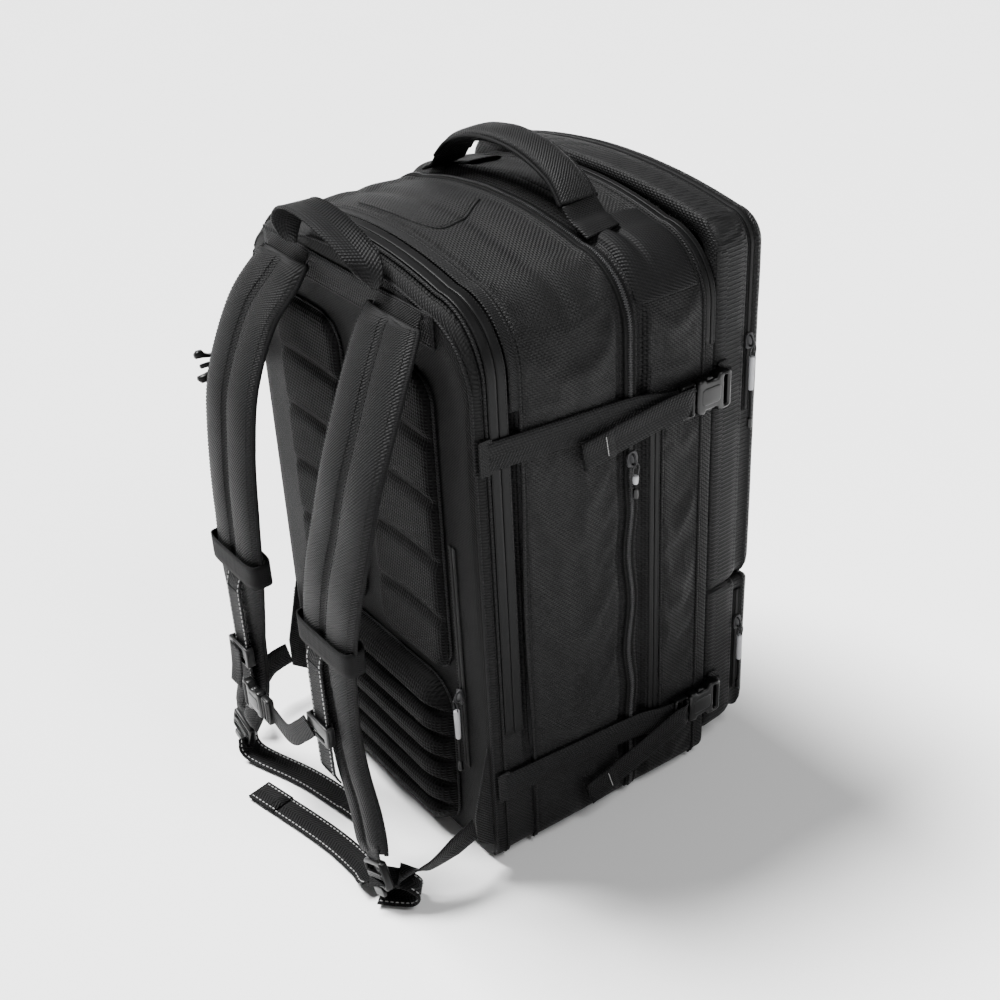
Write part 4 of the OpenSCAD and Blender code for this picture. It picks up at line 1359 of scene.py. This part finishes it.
def rail_band(name, x):
    """The webbing rail of the sternum slider, sewn down at both ends, with reflective thread along its edges."""
    points = [(x, -237.8, 224), (x, -240.6, 216), (x, RAIL_Y, 206), (x, RAIL_Y, 157), (x, RAIL_Y, 108), (x, -240.4, 99),
              (x, -237.0, 91)]
    path = curve(points, 8)
    parts = [webbing(name, points, WEB_W, (1, 0, 0), 8)]
    out = np.broadcast_to(BACK, path.shape)
    for s in (-1, 1):
        row = path + np.array([s * 9.6 * MM, -0.9 * MM, 0])
        parts.append(reflective(name + "_row", row, out))
    for z in (102, 211):
        bar = np.linspace((x - 10, RAIL_Y - 0.9, z), (x + 10, RAIL_Y - 0.9, z), 8) * MM
        parts.append(bar_tack(name + "_bar", bar, BACK))
    return joined(name, parts)


def tail_band(name, points, across):
    """A free end of the shoulder webbing: reflective thread along its edges and a folded hem at the end."""
    path = curve(points, 12)
    sides = np.tile(unit(np.array(across, float)), (len(path), 1))
    parts = [webbing(name, points, WEB_W, across, 12)]
    forward, side, normal = frames(path, sides)
    up = np.where(normal[:, 2:3] < 0, -normal, normal)
    for s in (-1, 1):
        row = path + side * s * 9.4 * MM + up * 0.9 * MM
        parts.append(reflective(name + "_row", row, up))
    to_end = np.linalg.norm(path - path[-1], axis=1)
    hem = np.nonzero(to_end < 34 * MM)[0]
    fold = path[hem] + up[hem] * 1.5 * MM
    parts.append(band(name + "_fold", fold, sides[hem], WEB_W, 1.4 * MM, WEBBING))
    for s in (-1, 1):
        row = fold + side[hem] * s * 9.4 * MM + up[hem] * 0.8 * MM
        parts.append(reflective(name + "_hem_row", row, up[hem]))
    k = hem[0]
    start = fold[0] + up[k] * 0.8 * MM + (fold[1] - fold[0])
    bar = np.linspace(start - side[k] * 10 * MM, start + side[k] * 10 * MM, 8)
    parts.append(bar_tack(name + "_bar", bar, up[k]))
    return joined(name, parts)


def curled_end():
    """The webbing's end under the right ladder lock, curled over on itself beside it."""
    points = [(128, -242, 23), (139, -233, 26), (151, -221, 23), (158, -214, 14), (154, -218, 5.4), (143, -228, 3),
              (132, -238, 2.8)]
    across = (0.78, -0.62, 0.08)
    path = curve(points, 10)
    forward, side, normal = frames(path, np.tile(unit(np.array(across, float)), (len(path), 1)))
    band = webbing("curled_end", points, WEB_W, across, 10)
    rows = []
    for face in (-1, 1):
        for s in (-1, 1):
            row = path + side * s * 8.6 * MM + normal * face * 0.9 * MM
            rows.append(reflective("curl_row", row[22:], normal[22:] * face))
    return [band] + rows


def build_shoulder_straps():
    sides = (
        dict(side="right", control=RIGHT_PAD, keeper=(84, -231), rail=70,
             tail=[(124, -238, 14), (112, -236, 6), (92, -233, 2.8), (40, -238, 2.4), (-50, -257, 2.4)],
             tail_across=(0.2, 1, 0), lock=(133.7, -238.8, 30.1), turn=-27,
             lower=[(160, -158, 50), (163, -180, 46), (160, -207, 36), (146, -226, 30)],
             lower_across=[(0, 0, 1), (0.1, 0, 1), (0.5, 0, 0.8), (1, 0, 0.1)]),
        dict(side="left", control=LEFT_PAD, keeper=(-72, -229), rail=-70,
             tail=[(-107, -236, 20), (-104, -237, 9), (-90, -232, 3.2), (-40, -214, 2.4), (4, -204, 2.4),
                   (48, -196, 2.4)],
             tail_across=(-0.3, 1, 0), lock=(-110.8, -236.3, 29.2), turn=20,
             lower=[(-160, -158, 50), (-160, -180, 45), (-148, -204, 36), (-124, -222, 29)],
             lower_across=[(0, 0, 1), (-0.1, 0, 1), (-0.5, 0, 0.8), (-1, 0, 0.1)]))
    for strap in sides:
        shoulder_strap(**strap)


def shoulder_strap(side, control, keeper, rail, tail, tail_across, lock, turn, lower, lower_across):
    body = side + "_strap"
    shoulder_pad(side + "_shoulder_pad", control, body, side + "_pad")
    hook = [(control[0][0], y, z) for y, z in ((-141.6, 500), (-142.8, 497), (-145.2, 492), (-148.6, 486))]
    root = webbing(side + "_pad_root", hook, 60 * MM, (1, 0, 0), 6, 2 * MM, TWILL)
    spanned(root, "twill", "root", body, (0, -0.1424, 0.498), (0, -0.1475, 0.488))
    x, y, z = control[-1]
    toward = (lock[0] - x) * 0.6
    into_lock = [(x, y - 3, z + 14), (x + toward * 0.4, y - 3, z), (x + toward, lock[1] + 1, lock[2] + 5)]
    feed = webbing(side + "_feed", into_lock, WEB_W, (1, 0, 0), 6)
    parts = [keeper_band(side + "_keeper", *keeper), rail_band(side + "_rail", rail),
             tail_band(side + "_tail", tail, tail_across), feed]
    if side == "right":
        parts += curled_end()
    done(joined(side + "_strap_webbing", parts), body, "webbing", side + "_strap_webbing")
    ladder_lock(side + "_ladder_lock_frame", lock, turn, side + "_ladder", side + "_ladder_lock")
    strap = webbing(side + "_lower_strap_band", lower, WEB_W, lower_across, 8)
    a, b = Vector(lower[0]) * MM, Vector(lower[-1]) * MM
    spanned(strap, "webbing", "root", body, a + (b - a) * 0.1, a + (b - a) * 0.9, side + "_lower_strap")


# ---------------------------------------------------------------- sternum and compression straps

def build_sternum():
    plates = []
    for x in (70, -70):
        def plate(name, x0, x1, half, corner, holes, depth, bevel, y):
            plates.append(cutout(name, rounded(x0, -half, x1, half, corner), holes, depth, bevel, ACETAL,
                                 at(x, y, 145) @ FACING_BACK))

        plate("slider_face", -17, 17, 10, 3.4, [rounded(-11, -6.6, 11, -2.6, 1)], 2.8, 1.0, -245.5)
        for cheek, lip in ((-16.8, -16.8), (13.4, 9.4)):
            plate("slider_cheek", cheek, cheek + 3.4, 9.5, 1.2, [], 7.4, 0.8, -243.1)
            plate("slider_lip", lip, lip + 7.4, 9.5, 1.2, [], 1.0, 0.3, -239.8)
    done(joined("sternum_slider_frames", plates), "sternum", "acetal", "sternum_sliders")
    left = webbing("sternum_left_band", [(-72, -248, 151), (-73, -249, 127), (-73, -252, 111)], 20 * MM, (1, 0, 0), 8)
    done(left, "sternum", "webbing", "sternum_left_web")
    place = at(-25, -255, 113) @ Matrix.Rotation(math.radians(90), 4, "Z")
    place = place @ Matrix.Rotation(math.radians(180), 4, "Y") @ Matrix.Scale(0.86, 4) @ at(-13, 0, 0)
    done(female_buckle("sternum_buckle_female", place), "sternum", "acetal", "sternum_female")
    done(male_buckle("sternum_buckle_male", place), "sternum_male", "acetal", "sternum_male")
    right = webbing("sternum_right_band", [(-9, -248.6, 113), (24, -251, 114), (46, -250, 131), (60, -248.4, 145)],
                    20 * MM, (0, 0, 1), 10)
    done(right, "sternum", "webbing", "sternum_right_web")
    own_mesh(right)


def anchor_band(z, side):
    points = [(side * x, y, z) for x, y in ((168.5, 101), (167.4, 108), (166.6, 114))]
    return webbing("anchor_band", points, WEB_W, (0, 0, 1), 6)


def sewn_patch(name, y0, y1, z0, z1, corner, depth, bevel, x):
    patch = cutout(name, rounded(y0, z0, y1, z1, corner), [], depth, bevel, TWILL, at(x, 0, 0) @ LAID_ON_SIDE)
    return flat_cloth(patch, 1, 2)


def build_compression_straps():
    for level, z_from, z_to, drop in (("upper", 400, UPPER_Z, (UPPER_Z + 1, 381, 372)),
                                      ("lower", 86, LOWER_Z, (LOWER_Z - 4, 53, 34))):
        points = [(167.2, -132, z_from), (168.2, -60, z_from * 0.75 + z_to * 0.25), (168.4, 8, (z_from + z_to) / 2),
                  (170, 40, z_to + 1), (171.2, 58, z_to)]
        strap = webbing(level + "_compression_band", points, WEB_W, (0, 0, 1), 12, wave=0.3 * MM)
        done(strap, "root", "webbing", level + "_webbing")
        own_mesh(strap)
        place, right, body = on_wall(BUCKLE_Y, z_to), "right_" + level, level + "_buckle"
        done(male_buckle(right + "_buckle_male", place), body, "acetal", right + "_male")
        done(female_buckle(right + "_buckle_female", place), "front", "acetal", right + "_female")
        tail = [(173.5, 66, z_to - 1), (176.8, 58, drop[0]), (174.6, 20, drop[1]), (172.6, -45, drop[2])]
        path = curve(tail, 10)
        parts = [webbing(level + "_tail", tail, WEB_W, (0, 0.2, 1), 10, wave=0.4 * MM)]
        sides = np.tile(unit(np.array([0, 0.2, 1.0])), (len(path), 1))
        forward, side, normal = frames(path, sides)
        out = np.where(normal[:, :1] < 0, -normal, normal)
        parts.append(band(level + "_fold", path[-6:] + out[-6:] * 1.4 * MM, sides[-6:], WEB_W, 1.3 * MM, WEBBING))
        bar = path[-5] + out[-5] * 2.2 * MM
        rung = np.linspace(bar - side[-5] * 0.009, bar + side[-5] * 0.009, 8)
        parts.append(dashes(level + "_bar", rung, out[-5], REFLECT, 1.6 * MM, 1.3 * MM, 0.4 * MM))
        done(joined(right + "_tail_band", parts), body, "webbing", right + "_tail")
        patch = sewn_patch("anchor_patch", 100, 112, z_to - 20, z_to + 20, 3, 1.4, 0.4, 165.6)
        done(joined(level + "_anchor_right", [patch, anchor_band(z_to, 1)]), "front", "twill")
        done(sewn_patch("strap_hem", -136, -124, z_from - 15, z_from + 15, 2, 1.6, 0.5, 167.2), "root", "twill")
    heights = (UPPER_Z, LOWER_Z)
    females = [female_buckle("left_female", MIRROR @ on_wall(BUCKLE_Y, z)) for z in heights]
    done(joined("left_buckle_females", females), "front", "acetal", "left_females")
    done(joined("left_anchors", [anchor_band(z, -1) for z in heights]), "front", "webbing")
    lying = MIRROR @ on_wall(-34, LOWER_Z)
    done(male_buckle("left_lower_buckle_male", lying), "root", "acetal", "left_lower_male")
    low = webbing("left_lower_band", [(-166.6, -132, 86), (-168.4, -90, 80), (-170.6, -60, 73), (-171, -47, 72)],
                  WEB_W, (0, 0, 1), 8)
    done(low, "root", "webbing", "left_lower_webbing")
    stub_points = [(-164.2, -142.2, 374), (-166, -152, 374), (-168, -166, 374), (-168.4, -170, 374)]
    stub = webbing("left_upper_band", stub_points, WEB_W, (0, 0, 1), 6)
    done(stub, "left_upper_strap", "webbing", "left_upper_webbing")
    turned = at(-162, -183, 374) @ MIRROR @ Matrix.Diagonal((1, -1, 1, 1))
    done(male_buckle("left_upper_buckle_male", turned), "left_upper_strap", "acetal", "left_upper_male")


def build_sliders():
    pocket_y = POCKET_ZIP_Y / MM
    for zip_name, place, track, length in (("main", on_wall(8, 350, 1), 11, 34),
                                           ("upper_pocket", on_wall(pocket_y, 410, -6), 9, 78),
                                           ("lower_pocket", on_wall(pocket_y, 130, -6), 9, 72),
                                           ("back_pocket", at(129, -141, 165) @ FACING_HARNESS, 9, 76)):
        zip_slider(zip_name + "_zip_slider", place, zip_name + "_slider", track)
        zip_pull(zip_name + "_zip_pull", place, zip_name + "_pull", length, 0.62 if zip_name == "main" else 0.55)
    zip_slider("laptop_zip_slider", MIRROR @ on_wall(-116, 150), "laptop_slider", 9)


# ---------------------------------------------------------------- everything

build_rear()
build_harness_face()
build_spine()
build_front()
build_pockets()
build_handle()
build_hang_loop()
build_shoulder_straps()
build_sternum()
build_compression_straps()
build_sliders()
sheet_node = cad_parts["frame_sheet"]
sheet_node.data.materials.clear()
sheet_node.data.materials.append(SHEET)
bpy.data.scenes.remove(WORK)
place_camera()
light_scene()
lay_floor(FLOOR)
